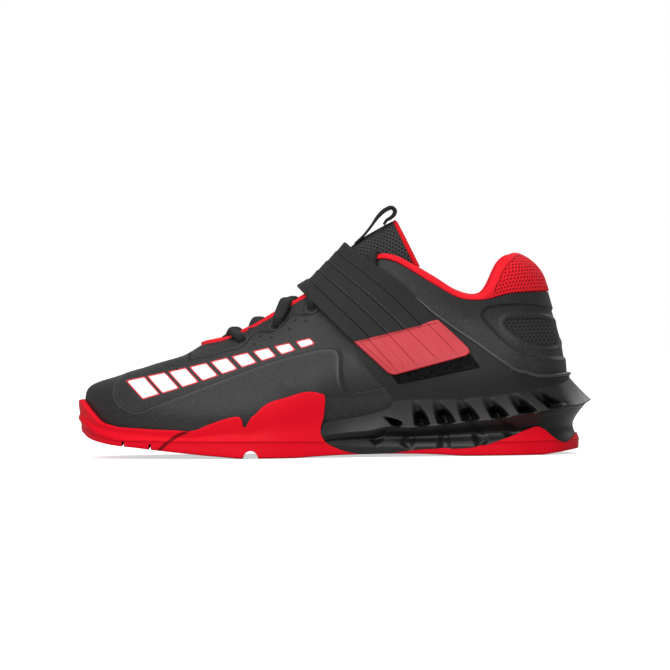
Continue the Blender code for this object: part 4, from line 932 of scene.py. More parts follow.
def build_lining():
    """Cloth inside the upper, and the red edge that stands above the leather along the throat."""
    q = TURN * np.arange(320) / 320
    rows = [skin(q, v, -WALL) for v in np.linspace(0, 0.97, 26)]
    grid_piece("upper_lining", np.array(rows), INSIDE, wrap=True, flip=True)
    q = np.linspace(-8.2, 8.2, 420)
    q = np.where(q < 0, q + TURN, q)
    top = wall(q, np.full(q.shape, 1.0))
    inwards = top - wall(q, np.full(q.shape, 0.98))
    inwards /= np.linalg.norm(inwards, axis=1)[:, None]
    # distances down from the edge and in towards the throat
    lip = ((0.0075, -0.0016), (0.0040, -0.0010), (0.0024, -0.0002), (0.0012, 0.0), (0.0004, 0.0), (0.0001, 0.0002),
           (0.0, 0.0005), (0.0001, 0.0008), (0.0004, 0.0010), (0.0014, 0.0010), (0.0030, 0.0008), (0.0090, 0.0002))
    rows = [top + inwards * into - np.array((0.0, 0.0, down)) for down, into in lip]
    return grid_piece("throat_lining", np.array(rows), RED_CLOTH)


def build_collar():
    """Padded red mesh round the collar: a closed profile carried along the edge of the upper."""
    q = np.linspace(6.9, 21.1, 520)
    station = np.minimum(q, TURN - q)
    rise = np.maximum(HEIGHT * around(TOPLINE, 5, 5, q), 0.0022)
    lean = HEIGHT * around(TOPLINE, 6, 6, q)
    lining_at = WALL + GAP * np.interp(station, (8.4, 10.0), (4.0, 1.7))
    pad = LINING_PAD * np.interp(station, (8.4, 10.5), (0.15, 1.0))
    t = wall(q, np.full(q.shape, 1.0))
    a = t - wall(q, np.full(q.shape, 0.975))
    a /= np.linalg.norm(a, axis=1)[:, None]
    o = wall_normal(q, np.full(q.shape, 1.0))
    forward = np.stack([-lean, 0 * lean, 0 * lean], axis=1)
    r, p, g = rise[:, None], pad[:, None], lining_at[:, None]
    profile = [
        t + a * GAP + o * 0.0004,
        t + a * (0.22 * r) + o * 0.0009 + forward * 0.04,
        t + a * (0.45 * r) + o * 0.0010 + forward * 0.12,
        t + a * (0.70 * r) + o * 0.0006 + forward * 0.36,
        t + a * (0.90 * r) - o * 0.0006 + forward * 0.70,
        t + a * r - o * 0.0022 + forward,
        t + a * (0.93 * r) - o * (0.0024 + 0.4 * p) + forward * 1.0,
        t + a * (0.72 * r) - o * (0.0024 + 0.8 * p) + forward * 0.86,
        t + a * (0.40 * r) - o * (g + 0.95 * p) + forward * 0.34,
        t - o * (g + p),
        skin(q, np.full(q.shape, 0.90), 0.0) - wall_normal(q, np.full(q.shape, 0.90)) * (g + 0.95 * p),
        skin(q, np.full(q.shape, 0.80), 0.0) - wall_normal(q, np.full(q.shape, 0.80)) * (g + 0.75 * p),
        skin(q, np.full(q.shape, 0.72), 0.0) - wall_normal(q, np.full(q.shape, 0.72)) * (g + 0.3 * p),
        skin(q, np.full(q.shape, 0.72), 0.0) - wall_normal(q, np.full(q.shape, 0.72)) * g,
        skin(q, np.full(q.shape, 0.88), 0.0) - wall_normal(q, np.full(q.shape, 0.88)) * g,
        t - o * g,
    ]
    profile = np.array(profile)
    knots = np.arange(len(profile) + 4) - 2
    looped = np.concatenate([profile[-2:], profile, profile[:2]])
    fine = np.linspace(0, len(profile), 64, endpoint=False)
    place = np.clip(fine.astype(int), 0, len(profile) - 1)
    f = (fine - place)[:, None, None]
    p0, p1, p2, p3 = (looped[place + n + 1] for n in range(4))
    rows = 0.5 * (2 * p1 + (p2 - p0) * f + (2 * p0 - 5 * p1 + 4 * p2 - p3) * f**2 + (3 * p1 - p0 - 3 * p2 + p3) * f**3)
    ends = [rows[:, :1].mean(axis=0, keepdims=True), rows[:, -1:].mean(axis=0, keepdims=True)]
    rows = np.concatenate([np.repeat(ends[0], len(rows), axis=0), rows, np.repeat(ends[1], len(rows), axis=0)], axis=1)
    seam = distance_to(rows.reshape(-1, 3)[:, [0, 2]], smooth_line(outline(COLLAR_SEAM), 40))
    collar = grid_piece("collar_pad", rows, COLLAR_KNIT, tall_wrap=True, flip=True,
                        fields={"collar_seam": seam}, along=rows[10], close=True)
    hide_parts("collar")
    return collar


def tongue_face(across, depth, stations):
    """Tongue face at the shares across, moved inwards by the depth."""
    q = column(TONGUE, 0)
    x = LENGTH * spline(q, column(TONGUE, 1), stations)
    z = HEIGHT * spline(q, column(TONGUE, 2), stations)
    half = BALL_WIDTH * spline(q, column(TONGUE, 3), stations)
    drop = HEIGHT * spline(q, column(TONGUE, 4), stations)
    slope_x, slope_z = np.gradient(x), np.gradient(z)
    long = np.hypot(slope_x, slope_z)
    centre = BALL_WIDTH * 0.036 * np.clip(1 - stations / 11.0, 0, 1)
    share = across[:, None]
    sunk = drop * (1 - np.cos(share * 1.45)) / (1 - np.cos(1.45)) + depth
    y = centre + np.sin(share * 1.45) / np.sin(1.45) * (half - 0.5 * depth)
    return np.stack([x + slope_z / long * sunk, y, z - slope_x / long * sunk], axis=-1)


def build_tongue():
    """Padded tongue: two faces that meet in rounded edges."""
    stations = np.linspace(0, 12, 200)
    angle = np.linspace(0, 2 * np.pi, 160, endpoint=False)
    share = np.sign(np.cos(angle)) * np.abs(np.cos(angle)) ** 0.55
    depth = 0.5 * (1 - np.sign(np.sin(angle)) * np.abs(np.sin(angle)) ** 0.45)
    end = 1 - (1 - np.clip((12 - stations) / 0.3, 0, 1)) ** 2.2
    squeeze = np.sqrt(np.clip(end, 0.0, 1))
    rows = []
    for s, d in zip(share, depth):
        thick = TONGUE_THICK * (0.5 + (d - 0.5) * np.maximum(squeeze, 0.02))
        rows.append(tongue_face(np.array([s]), thick, stations)[0])
    rows = np.array(rows)
    tongue = grid_piece("tongue_pad", rows, BLACK_KNIT, tall_wrap=True, close=True)
    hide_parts("tongue")
    return tongue


def build_tongue_rim():
    """Red binding round the top of the tongue: a round section carried along its end edge."""
    across = np.sin(np.linspace(-1, 1, 121) * np.pi / 2)
    line = tongue_face(across, np.full((121, 1), TONGUE_THICK / 2), np.array([11.7, 11.85, 12.0]))[:, 2]
    ahead = np.gradient(line, axis=0)
    ahead /= np.linalg.norm(ahead, axis=1)[:, None]
    out = line - tongue_face(across, np.full((121, 1), TONGUE_THICK / 2), np.array([11.7, 11.85, 12.0]))[:, 1]
    out -= np.sum(out * ahead, axis=1)[:, None] * ahead
    out /= np.linalg.norm(out, axis=1)[:, None]
    third = np.cross(ahead, out)
    angle = np.linspace(0, 2 * np.pi, 28, endpoint=False)[:, None, None]
    rows = line + out * (np.cos(angle) * 0.0016 - 0.0006) + third * np.sin(angle) * 0.0027
    return grid_piece("tongue_binding", rows, RED_KNIT, tall_wrap=True, close=True)


def hull_points():
    """Dense points on the outside of the upper and on the bridge over the tongue between its two edges."""
    q = np.linspace(0, TURN, 561)
    level = np.linspace(0, 1, 81)[:, None]
    sides = skin(q, level, EYESTAY_STEP).reshape(-1, 3)
    c = np.linspace(0.3, 8.8, 180)
    a = skin(c, np.full(c.shape, 1.0), EYESTAY_STEP)
    b = skin(TURN - c, np.full(c.shape, 1.0), EYESTAY_STEP)
    x = 0.5 * (a[:, 0] + b[:, 0])
    crown = np.interp(x - 0.006, LENGTH * column(TONGUE, 1), HEIGHT * column(TONGUE, 2)) + 0.0005
    crown = np.maximum(crown, 0.5 * (a[:, 2] + b[:, 2]))
    share = np.linspace(-1, 1, 121)[:, None, None]
    bulge = np.cos(share[..., 0] * np.pi / 2) ** 0.8
    base = a * (1 - share) / 2 + b * (1 + share) / 2
    base[..., 0] += -0.006 * bulge
    base[..., 2] += (crown - base[..., 2]) * bulge
    return sides, base.reshape(-1, 3)


HULL = np.concatenate(hull_points())


def reach_over(start, axis_way, out_way, stations, angles, width, press):
    """How far the hull stands from an axis inside the shoe: the farthest hull point in each cell of
    distance along the axis and angle round it, then pulled tight like a band and smoothed."""
    gone = (HULL - start) @ axis_way
    high = (HULL - start) @ out_way
    angle = np.arctan2(HULL[:, 1], high)
    away = np.hypot(HULL[:, 1], high)
    s = np.rint((gone - stations[0]) / (stations[1] - stations[0])).astype(int)
    n = np.rint((angle - angles[0]) / (angles[1] - angles[0])).astype(int)
    inside = (s >= 0) & (s < len(stations)) & (n >= 0) & (n < len(angles))
    reach = np.zeros((len(stations), len(angles)))
    np.maximum.at(reach, (s[inside], n[inside]), away[inside])
    for _ in range(12):
        padded = np.pad(reach, 1, mode="edge")
        nearby = np.max([padded[1:-1, :-2], padded[1:-1, 2:], padded[:-2, 1:-1], padded[2:, 1:-1]], axis=0)
        reach = np.where(reach == 0, nearby, reach)
    weights = np.exp(-0.5 * (np.arange(-width, width + 1) / (0.5 * width)) ** 2)
    weights /= weights.sum()
    for _ in range(press):
        padded = np.pad(reach, ((0, 0), (width, width)), mode="edge")
        calm = sum(w * padded[:, k:k + len(angles)] for k, w in enumerate(weights))
        reach = np.maximum(reach, calm) * 0.5 + calm * 0.5
    padded = np.pad(reach, ((2, 2), (0, 0)), mode="edge")
    return sum(padded[k:k + len(stations)] for k in range(5)) / 5


def read_grid(values, rows, columns):
    """Values of a grid read between its places, in straight lines both ways."""
    rows, columns = np.broadcast_arrays(rows, columns)
    rows, columns = (np.clip(place, 0, size - 1.001) for place, size in zip((rows, columns), values.shape))
    r, c = rows.astype(int), columns.astype(int)
    down, over = rows - r, columns - c
    upper = values[r, c] * (1 - over) + values[r, c + 1] * over
    lower = values[r + 1, c] * (1 - over) + values[r + 1, c + 1] * over
    return upper * (1 - down) + lower * down


def build_strap():
    """The strap: a band over the hull along slanted planes that fan out downwards, in five overlapping strips
    with two rows of stitches, cut along the red end on the outer side and low on the inner side."""
    start = np.array((0.512 * LENGTH, 0.0, 0.6245 * HEIGHT))
    end = np.array((0.6027 * LENGTH, 0.0, 0.8540 * HEIGHT))
    long = np.linalg.norm(end - start)
    axis_way = (end - start) / long
    out_way = np.array((-0.7071, 0.0, 0.7071))
    angles = np.radians(np.linspace(-142, 142, 300))
    stations = np.arange(0.0, 1.16 * long, long / 90)
    reach = reach_over(start, axis_way, out_way, stations, angles, 9, 6)
    share = np.linspace(0, 1, 90)[:, None]

    def band_at(turn):
        """Start, direction and length of the ray to the band's middle at each share across and each turn."""
        gone = share * long * (1 + STRAP_FAN * eased(np.abs(turn), 0.4, 1.9))
        far = read_grid(reach, gone / stations[1], (turn - angles[0]) / (angles[1] - angles[0]))
        ray = np.sin(turn)[..., None] * np.array((0, 1.0, 0)) + np.cos(turn)[..., None] * out_way
        lift = 3 * GAP + 0.0029 - 0.0016 * eased(np.cos(turn), -0.2, 0.6)
        return start + gone[..., None] * axis_way, ray, far + lift + STRAP_THICK * 0.5

    front, rear = outline((TAB[0], TAB[-1]))
    slope = (rear[1] - front[1]) / (rear[0] - front[0])
    origin, ray, far = band_at(angles[None])
    face = origin + ray * far[..., None]
    drop = face[..., 2] - (front[1] + slope * (face[..., 0] - front[0]))
    outer_side = angles < 0
    first = np.array([np.interp(0.0006, d[outer_side], angles[outer_side]) for d in drop])
    last = np.array([np.interp(0.14 * HEIGHT, -d[~outer_side], angles[~outer_side]) for d in drop])
    turn = first[:, None] + (last - first)[:, None] * np.linspace(0, 1, 320)
    origin, ray, far = band_at(turn)
    steps = STRAP_STEP * (np.mod(share * 5, 1.0) - 0.5) * eased(share, 0.0, 0.02)
    inset = np.clip(np.minimum(share, 1 - share) * long / 0.0009, 0, 1)
    edge = np.sqrt(np.clip(1 - (1 - inset) ** 2, 0, 1))
    outer = origin + ray * (far + STRAP_THICK * 0.5 * edge + steps)[..., None]
    inner = origin + ray * (far - STRAP_THICK * 0.5 * edge)[..., None]
    rows = np.concatenate([outer, inner[::-1]])
    gone = np.broadcast_to(share * long, turn.shape)
    lines = np.array((0.2, 0.4, 0.6, 0.8)) * long
    nearest = np.min(np.abs(gone[..., None] - lines), axis=-1)
    stitched = np.min(np.abs(gone[..., None] - (lines[1:3] + 0.0009)), axis=-1)
    far_along = np.broadcast_to(lengths_along(outer[45:46], 1), turn.shape)
    blank = np.full_like(nearest, 1.0)
    fields = {
        "strap_edge": np.concatenate([nearest, blank]),
        "strap_stitch": np.concatenate([stitched, blank]),
        "strap_along": np.concatenate([far_along, far_along]),
    }
    strap = grid_piece("strap_band", rows, BLACK_WEB, tall_wrap=True, fields=fields, sharp=60,
                       close=True)
    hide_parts("strap")
    return strap


def soft_band(name, line, side, wide, thick, finish, around_count=28):
    """A band with a rounded flat section carried along a line, its width square to the line and near the
    side direction, drawn in to a point at both ends. Width and thickness may change along it."""
    ahead = np.gradient(line, axis=0)
    ahead /= np.linalg.norm(ahead, axis=1)[:, None]
    across = np.asarray(side, float) - (ahead @ np.asarray(side, float))[:, None] * ahead
    across /= np.linalg.norm(across, axis=1)[:, None]
    out = np.cross(ahead, across)
    gone = lengths_along(line[None], 1)
    from_end = np.minimum(gone, gone[-1] - gone)
    size = np.sqrt(np.clip(1 - (1 - np.clip(from_end / 0.0015, 0, 1)) ** 2, 0, 1))
    angle = np.linspace(0, 2 * np.pi, around_count, endpoint=False)[:, None]
    wide = np.sign(np.cos(angle)) * np.abs(np.cos(angle)) ** 0.7 * wide * 0.5 * size
    thick = np.sign(np.sin(angle)) * np.abs(np.sin(angle)) ** 0.8 * thick * 0.5 * size
    rows = line + across * wide[..., None] + out * thick[..., None]
    return grid_piece(name, rows, finish, tall_wrap=True, close=True)


def build_laces():
    """Full woven laces: a band carried over the throat from eyelet to eyelet, its ends sunk into them, a bar
    between the first two and a loop over each end of the collar."""
    angles = np.radians(np.linspace(-100, 100, 260))
    for number, (middle, hole_x, hole_z, over) in enumerate(LACES):
        middle, hole_x, hole_z = LENGTH * middle, LENGTH * hole_x, HEIGHT * hole_z
        low = hole_z - 0.15 * HEIGHT
        start = np.array((0.0, 0.0, low))
        stations = np.linspace(min(middle, hole_x) - 0.006, max(middle, hole_x) + 0.006, 60)
        reach = reach_over(start, np.array((1.0, 0, 0)), np.array((0, 0, 1.0)), stations, angles, 7, 4)
        ends = [skin(*find([(hole_x, hole_z)], side))[0] for side in (-1, 1)]
        first, last = (np.arctan2(p[1], p[2] - low) for p in ends)
        t = np.linspace(0, 1, 220)
        turn = first + (last - first) * t
        x = middle + (hole_x - middle) * np.abs(2 * t - 1) ** 1.6
        far = read_grid(reach, (x - stations[0]) / (stations[1] - stations[0]),
                        (turn - angles[0]) / (angles[1] - angles[0]))
        from_end = np.minimum(t, 1 - t)
        away = far + over - 0.0050 * (1 - eased(from_end, 0.0, 0.045)) - 0.0050 * eased(from_end, 0.17, 0.34)
        line = np.stack([x, np.sin(turn) * away, low + np.cos(turn) * away], axis=-1)
        wide = LACE_WIDTH * (0.78 + 0.22 * eased(from_end, 0.02, 0.09))
        lace = soft_band("lace_band_%d" % (number + 1), line, (1.0, 0, 0), wide, LACE_FULL, LACE_WEB)
        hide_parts("lace_%d" % (number + 1))
    bar = smooth_line([(LENGTH * x, BALL_WIDTH * y, HEIGHT * z) for x, y, z in LACE_BAR], 90)
    soft_band("lace_bar", bar, (1.0, 0, 0), LACE_WIDTH, LACE_FULL, LACE_WEB)
    for number, place in enumerate((LACE_LOOP, TURN - LACE_LOOP)):
        top = wall(place, 1.0)
        out = wall_normal(np.array([place]), np.array([1.0]))[0]
        up = np.array((0.0, 0.0, 1.0))
        line = [skin(place, 0.88, -0.0016), skin(place, 0.92, 0.0018), skin(place, 0.965, 0.0028),
                top + up * 0.0030 + out * 0.0016, top + up * 0.0046 - out * 0.0020, top + up * 0.0028 - out * 0.0064,
                top - up * 0.0050 - out * 0.0100]
        soft_band("lace_loop_%d" % (number + 1), smooth_line(np.array(line), 70), (1.0, 0, 0.6), 0.0056, LACE_FULL,
                  LACE_WEB)


def over_wing(name, corners, lift, thick, finish, radius, lines=None, border=0.0):
    """A thin soft-edged piece on the outer side: rings from the middle of its side view outline out to it,
    laid over the wall, then turned down at the edge and closed underneath."""
    edge = resampled(rounded(corners, radius), 300, closed=True)
    centre = edge.mean(axis=0)
    inset = np.concatenate([np.linspace(0.0, 0.86, 46), 1 - np.geomspace(0.13, 0.002, 16)])
    rings = centre + (edge - centre)[None] * inset[:, None, None]
    q, level = find(rings.reshape(-1, 2), -1)
    q, level = q.reshape(rings.shape[:2]), level.reshape(rings.shape[:2])
    away = np.linalg.norm(edge - centre, axis=1)[None, :] * (1 - inset[:, None])
    crown = np.sqrt(np.clip(1 - (1 - np.clip(away / 0.0009, 0, 1)) ** 2, 0, 1))
    top = skin(q, level, lift + thick * (0.35 + 0.65 * crown))
    bottom = skin(q[-1], level[-1], lift)
    centre_bottom = skin(q[:1], level[:1], lift)
    rows = np.concatenate([top, bottom[None], centre_bottom])
    seen = rings.reshape(-1, 2)
    fields = {}
    if lines is not None:
        rib = np.full(len(seen), 1.0)
        for line in lines:
            away_from = distance_to(seen, outline(line))
            rib = np.where(np.abs(away_from) < np.abs(rib), away_from, rib)
        fields["rib"] = np.concatenate([rib.reshape(q.shape), np.ones((2, q.shape[1]))])
        frame_line = -distance_to(seen, edge, True) - border
        fields["border"] = np.concatenate([-frame_line.reshape(q.shape), np.ones((2, q.shape[1]))])
    return grid_piece(name, rows[::-1], finish, wrap=True,
                      fields={k: v[::-1] for k, v in fields.items()}, sharp=50, close=True)


def through(controls, at):
    """Smooth curve through rows of points, read at places counted in rows."""
    controls = np.asarray(controls, float)
    slope = np.gradient(controls, axis=0)
    place = np.clip(np.floor(at).astype(int), 0, len(controls) - 2)
    t = (at - place)[:, None, None]
    start = controls[place] * (2 * t**3 - 3 * t**2 + 1) + slope[place] * (t**3 - 2 * t**2 + t)
    return start + controls[place + 1] * (3 * t**2 - 2 * t**3) + slope[place + 1] * (t**3 - t**2)


def level_at_height(q, z):
    """The level at which the wall reaches a height, by halving."""
    q, z = np.broadcast_arrays(q, z)
    low, high = np.zeros(q.shape), np.ones(q.shape)
    for _ in range(13):
        middle = 0.5 * (low + high)
        over = wall(q, middle)[..., 2] > z
        low, high = np.where(over, low, middle), np.where(over, middle, high)
    return 0.5 * (low + high)


def prism(corners, low_y, high_y):
    """A side view outline carried across the shoe, as points and faces."""
    count = len(corners)
    x, z = np.asarray(corners, float).T
    points = np.concatenate([np.stack([x, np.full(count, y), z], axis=1) for y in (low_y, high_y)])
    n = np.arange(count)
    m = np.roll(n, -1)
    sides = np.stack([n, m, count + m, count + n], axis=1).tolist()
    return points, sides + [n[::-1].tolist(), (n + count).tolist()]


def helper(name, parts):
    """An object from several closed shapes, for a cut, with its faces turned outwards."""
    mesh = bpy.data.meshes.new(name)
    points, faces = [], []
    for some, their in parts:
        faces += [[len(points) + v for v in face] for face in their]
        points += placed(some).tolist()
    mesh.from_pydata(points, [], faces)
    shape = bmesh.new()
    shape.from_mesh(mesh)
    bmesh.ops.recalc_face_normals(shape, faces=shape.faces)
    shape.to_mesh(mesh)
    shape.free()
    made = bpy.data.objects.new(name, mesh)
    bpy.context.scene.collection.objects.link(made)
    return made


def carve(target, cutter, operation):
    """The target cut by the helper, kept as a plain mesh, and the helper removed."""
    step = target.modifiers.new("carve", "BOOLEAN")
    step.operation, step.solver, step.object = operation, "EXACT", cutter
    shape = bpy.data.meshes.new_from_object(target.evaluated_get(bpy.context.evaluated_depsgraph_get()))
    target.modifiers.clear()
    target.data = shape
    bpy.data.objects.remove(cutter, do_unlink=True)


def ring_faces(height, width):
    """Faces of closed rows, with the first and the last row closed across the shoe in strips."""
    half = width // 2
    c = np.arange(half)
    near, far = width - c - 1, (width - c) % width
    caps = [np.stack([c, c + 1, near, far], axis=1) + start for start in (0, (height - 1) * width)]
    whole = [list(dict.fromkeys(face)) for cap in caps for face in cap.tolist()]
    return grid_faces(height, width, wrap=True).tolist() + whole


def turned_out(made):
    """A piece made one closed skin: doubles merged, open ends filled, all faces turned outwards."""
    shape = bmesh.new()
    shape.from_mesh(made.data)
    bmesh.ops.remove_doubles(shape, verts=shape.verts, dist=0.000004)
    open_edges = [edge for edge in shape.edges if edge.is_boundary]
    filled = bmesh.ops.holes_fill(shape, edges=open_edges, sides=0)["faces"]
    for edge in {edge for face in filled for edge in face.edges}:
        edge.smooth = False
    bmesh.ops.recalc_face_normals(shape, faces=shape.faces)
    shape.to_mesh(made.data)
    shape.free()


def build_outsole():
    """Red sole: tread, a step along its side, and a wall with a rounded rim that holds the upper."""
    count = 640
    q = TURN * np.arange(count) / count
    edge_x, edge_y, out_x, out_y = plan(q)
    edge, outward = np.stack([edge_x, edge_y], axis=1), np.stack([out_x, out_y], axis=1)
    rim_level = level_at_height(q, height_at(RIM, edge_x))
    ridge_z = height_at(RIDGE, edge_x)
    tread = edge - outward * 0.028 * BALL_WIDTH
    low_z = np.maximum(height_at(GROUND, tread[:, 0]), 0.0)

    def ring(inset, z):
        return np.column_stack([edge - outward * (inset * BALL_WIDTH)[:, None], z])

    flat = np.ones(count)
    rise = ridge_z - low_z
    station = np.minimum(q, TURN - q)
    toe = 1 - eased(station, 1.0, 3.5)
    thick = GAP + 0.0020 + 0.0016 * toe
    top = skin(q, rim_level, thick)
    middle = skin(q, 0.5 * rim_level, thick)
    ridge = ring(0.0 * flat, ridge_z)
    rows = [np.column_stack([tread, low_z]), ring(0.018 * flat, low_z + 0.02 * rise),
            ring(0.008 * flat, low_z + 0.07 * rise), ring(0.005 * flat, low_z + 0.20 * rise),
            ring(0.004 * flat, low_z + 0.50 * rise), ring(0.004 * flat, ridge_z - 0.0011),
            ring(0.002 * flat, ridge_z - 0.0003), ring(0.0 * flat, ridge_z),
            ring(0.002 * flat, ridge_z + 0.0003)]
    full = (-0.0009 + 0.0019 * toe)[:, None]
    slope = [ridge * (1 - t) + middle * t + np.column_stack([outward * full * np.sin(np.pi * t), 0 * flat])
             for t in (0.1, 0.25, 0.4, 0.6, 0.8)]
    rows += slope
    rows += [skin(q, rim_level * v, thick) for v in (0.5, 0.6, 0.7, 0.8, 0.9, 0.95)]
    rows += [top]
    up = top - skin(q, rim_level * 0.9, thick)
    up /= np.linalg.norm(up, axis=1)[:, None]
    roll = (0.00095 + 0.0008 * toe)[:, None]
    normal = wall_normal(q, rim_level)
    rows += [top + up * (0.0008 * np.sin(a)) - normal * roll * (1 - np.cos(a))
             for a in np.radians((30, 60, 90, 120, 150, 178))]
    rows += [skin(q, rim_level * v, GAP) for v in (0.7, 0.4, 0.1)]
    foot = skin(q, 0.0 * flat, GAP)
    foot[:, 2] = height_at(FLOOR, foot[:, 0])
    rows += [foot]
    rows = np.array(rows)
    points = placed(rows).reshape(-1, 3)
    seen = rows.reshape(-1, 3)[:, [0, 2]]
    ridge_all = np.repeat(ridge_z[None], len(rows), axis=0).ravel()
    tread_share = np.zeros(rows.shape[:2])
    tread_share[0] = 1.0
    fields = {"groove": distance_to(seen, smooth_line(outline(GROOVE), 30)),
              "over_step": seen[:, 1] - ridge_all, "tread": tread_share}
    sole = make("outsole_rubber", points, ring_faces(len(rows), count), RUBBER, fields=fields)
    turned_out(sole)
    cut_line = smooth_line(outline(SOLE_CUT)[1:], 160)
    cut_line = np.concatenate([outline(SOLE_CUT)[:1], cut_line])
    roof = 0.9 * HEIGHT
    corners = np.concatenate([cut_line, [(cut_line[-1, 0], roof), (cut_line[0, 0], roof)]])
    parts = [prism(corners, -BALL_WIDTH, BALL_WIDTH),
             prism(smooth_line(outline(NOTCH), 40), -BALL_WIDTH, BALL_WIDTH)]
    for x, wide, high in ((0.0860, 0.0042, 0.027), (0.1388, 0.0042, 0.027)):
        z = float(height_at(GROUND, LENGTH * x))
        parts.append(prism([(LENGTH * (x - wide / 2), z - 0.004), (LENGTH * (x + wide / 2), z - 0.004),
                            (LENGTH * (x + wide / 2), z + HEIGHT * high), (LENGTH * (x - wide / 2), z + HEIGHT * high)],
                           -BALL_WIDTH, BALL_WIDTH))
    arch = [(LENGTH * (0.3345 + 0.0150 * np.cos(a)), HEIGHT * (-0.006 + 0.044 * np.sin(a)))
            for a in np.linspace(0, np.pi, 15)]
    parts.append(prism(arch, -BALL_WIDTH, BALL_WIDTH))
    carve(sole, helper("sole_cut", parts), "DIFFERENCE")
    sole.data.shade_smooth()
    sole.data.set_sharp_from_angle(angle=np.radians(32))
    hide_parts("outsole")
    return sole


def pocket_share(seen, places, soft):
    """How much of slanted teardrop pockets is worked out at places in the side view: each is widest and
    deepest at its lower end and fades along its length, and its sides are rounded."""
    share = np.zeros(seen.shape[:-1])
    for top, foot, half in places:
        top, foot = outline((top, foot))
        way = foot - top
        from_top = seen - top
        t = from_top @ way / (way @ way)
        across = np.abs(from_top[..., 0] * way[1] - from_top[..., 1] * way[0]) / np.linalg.norm(way)
        wide = HEIGHT * half * (0.22 + 0.78 * eased(t, -0.1, 0.9))
        side = np.clip(1 - (across / wide) ** 2, 0, 1) ** soft
        share = np.maximum(share, side * eased(t, -0.25, 0.95) * (1 - eased(t, 0.99, 1.14)))
    return share


def build_heel_frame():
    """Black moulded frame: a platform with a sharp flared edge, hollows between slanted ribs, and a thin wing
    up each side of the upper with a raised bead along its rear edge."""
    count = 620
    q = np.linspace(6.2, 21.8, count)
    station = np.minimum(q, TURN - q)
    edge_x, edge_y, out_x, out_y = plan(q)
    edge, outward = np.stack([edge_x, edge_y], axis=1), np.stack([out_x, out_y], axis=1)
    offsets = [BALL_WIDTH * spline(column(FRAME_RING, 0), column(FRAME_RING, n), station) for n in range(1, 4)]
    flare_z = height_at(FLARE, edge_x + out_x * offsets[2])
    rings = [edge + outward * d[:, None] for d in offsets]
    flat = np.ones(count)
    low = np.column_stack([rings[0], 0.018 * HEIGHT * flat])
    foot = np.column_stack([rings[0], 0.060 * HEIGHT * flat])
    neck = np.column_stack([rings[1], 0.45 * flare_z + 0.030 * HEIGHT])
    under = np.column_stack([0.3 * rings[1] + 0.7 * rings[2], flare_z - 0.022 * HEIGHT])
    flare = np.column_stack([rings[2], flare_z])
    out = GAP + PLATE_THICK
    below = through([low, foot, neck, under, flare - (0, 0, 0.0004)], np.linspace(0, 4, 46))
    wall_level = np.maximum(level_at_height(q, flare_z + 0.11 * HEIGHT), 0.08)
    wall_foot = skin(q, wall_level, out)
    shoulder = 0.55 * flare + 0.45 * wall_foot - (0, 0, 0.004 * HEIGHT)
    bend = 2 * shoulder - 0.5 * (flare + wall_foot)
    t = np.linspace(0, 1, 40)[:, None, None]
    fillet = (flare + (0, 0, 0.0003)) * (1 - t) ** 2 + bend * 2 * t * (1 - t) + wall_foot * t**2
    share = np.linspace(0, 1, 56)[1:, None]
    face = skin(q, wall_level + (0.995 - wall_level) * share, out)
    outer = np.concatenate([below, fillet, face])
    seen = outer[..., [0, 2]]
    depth = pocket_share(seen, POCKETS, 1.5) * eased(seen[..., 1] - flare_z, 0.0001, 0.0009)
    scoop = pocket_share(seen, SCOOPS, 1.5) * (1 - eased(seen[..., 1] - flare_z, -0.0022, -0.0006))
    busy = np.arange(len(below) + len(fillet) + 40)
    z = outer[busy][..., 2]
    on_wall = level_at_height(np.broadcast_to(q, z.shape), z)
    floor = skin(np.broadcast_to(q, z.shape), on_wall, GAP + 0.0009)
    under_foot = eased(wall(q, 0.0 * flat)[:, 2] + 0.001 - z, 0.0, 0.004)
    floor[..., :2] -= outward * (0.0045 * under_foot)[..., None]
    floor[..., 2] = z
    outer[busy] += (floor - outer[busy]) * depth[busy][..., None]
    crease = distance_to(seen.reshape(-1, 2), smooth_line(outline(WING_CREASE), 40)).reshape(depth.shape)
    relief = 0.0007 * (1 - eased(np.abs(crease), 0.0, 0.0011)) * (seen[..., 1] > flare_z + 0.001)
    outer[..., :2] += outward * (relief - 0.0016 * scoop)[..., None]
    inner = np.array([skin(q, v * flat, GAP) for v in (0.995, 0.9, 0.8, 0.7, 0.6, 0.5, 0.4, 0.3, 0.2, 0.1)])
    inside = skin(q, 0.0 * flat, GAP)
    inside[:, 2] = height_at(FLOOR, inside[:, 0])
    deep = np.column_stack([inside[:, :2] - outward * 0.010, inside[:, 2]])
    deeper = np.column_stack([inside[:, :2] - outward * 0.010, 0.018 * HEIGHT * flat])
    rows = np.concatenate([outer, inner, inside[None], deep[None], deeper[None]])
    faces = grid_faces(len(rows), count, tall_wrap=True).tolist()
    faces += [[r * count for r in range(len(rows))], [r * count + count - 1 for r in range(len(rows))][::-1]]
    unseen = np.zeros((len(rows) - len(outer), count))
    fields = {"pocket": np.concatenate([depth, unseen]),
              "above": np.concatenate([seen[..., 1] - flare_z, unseen])}
    frame_piece = make("heel_frame_moulding", placed(rows).reshape(-1, 3), faces, PLATE,
                       fields=fields)
    turned_out(frame_piece)
    front = smooth_line(outline(FRAME_FRONT), 90)
    rear = smooth_line(outline(FRAME_REAR), 120)
    lower = smooth_line(outline(SOLE_CUT)[3:], 150)
    corners = grown(np.concatenate([lower, rear[::-1], front[::-1]]), GAP)
    carve(frame_piece, helper("frame_cut", [prism(corners, -BALL_WIDTH, BALL_WIDTH)]), "INTERSECT")
    frame_piece.data.shade_smooth()
    frame_piece.data.set_sharp_from_angle(angle=np.radians(38))
    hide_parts("heel_frame")
    build_bead()
    return frame_piece


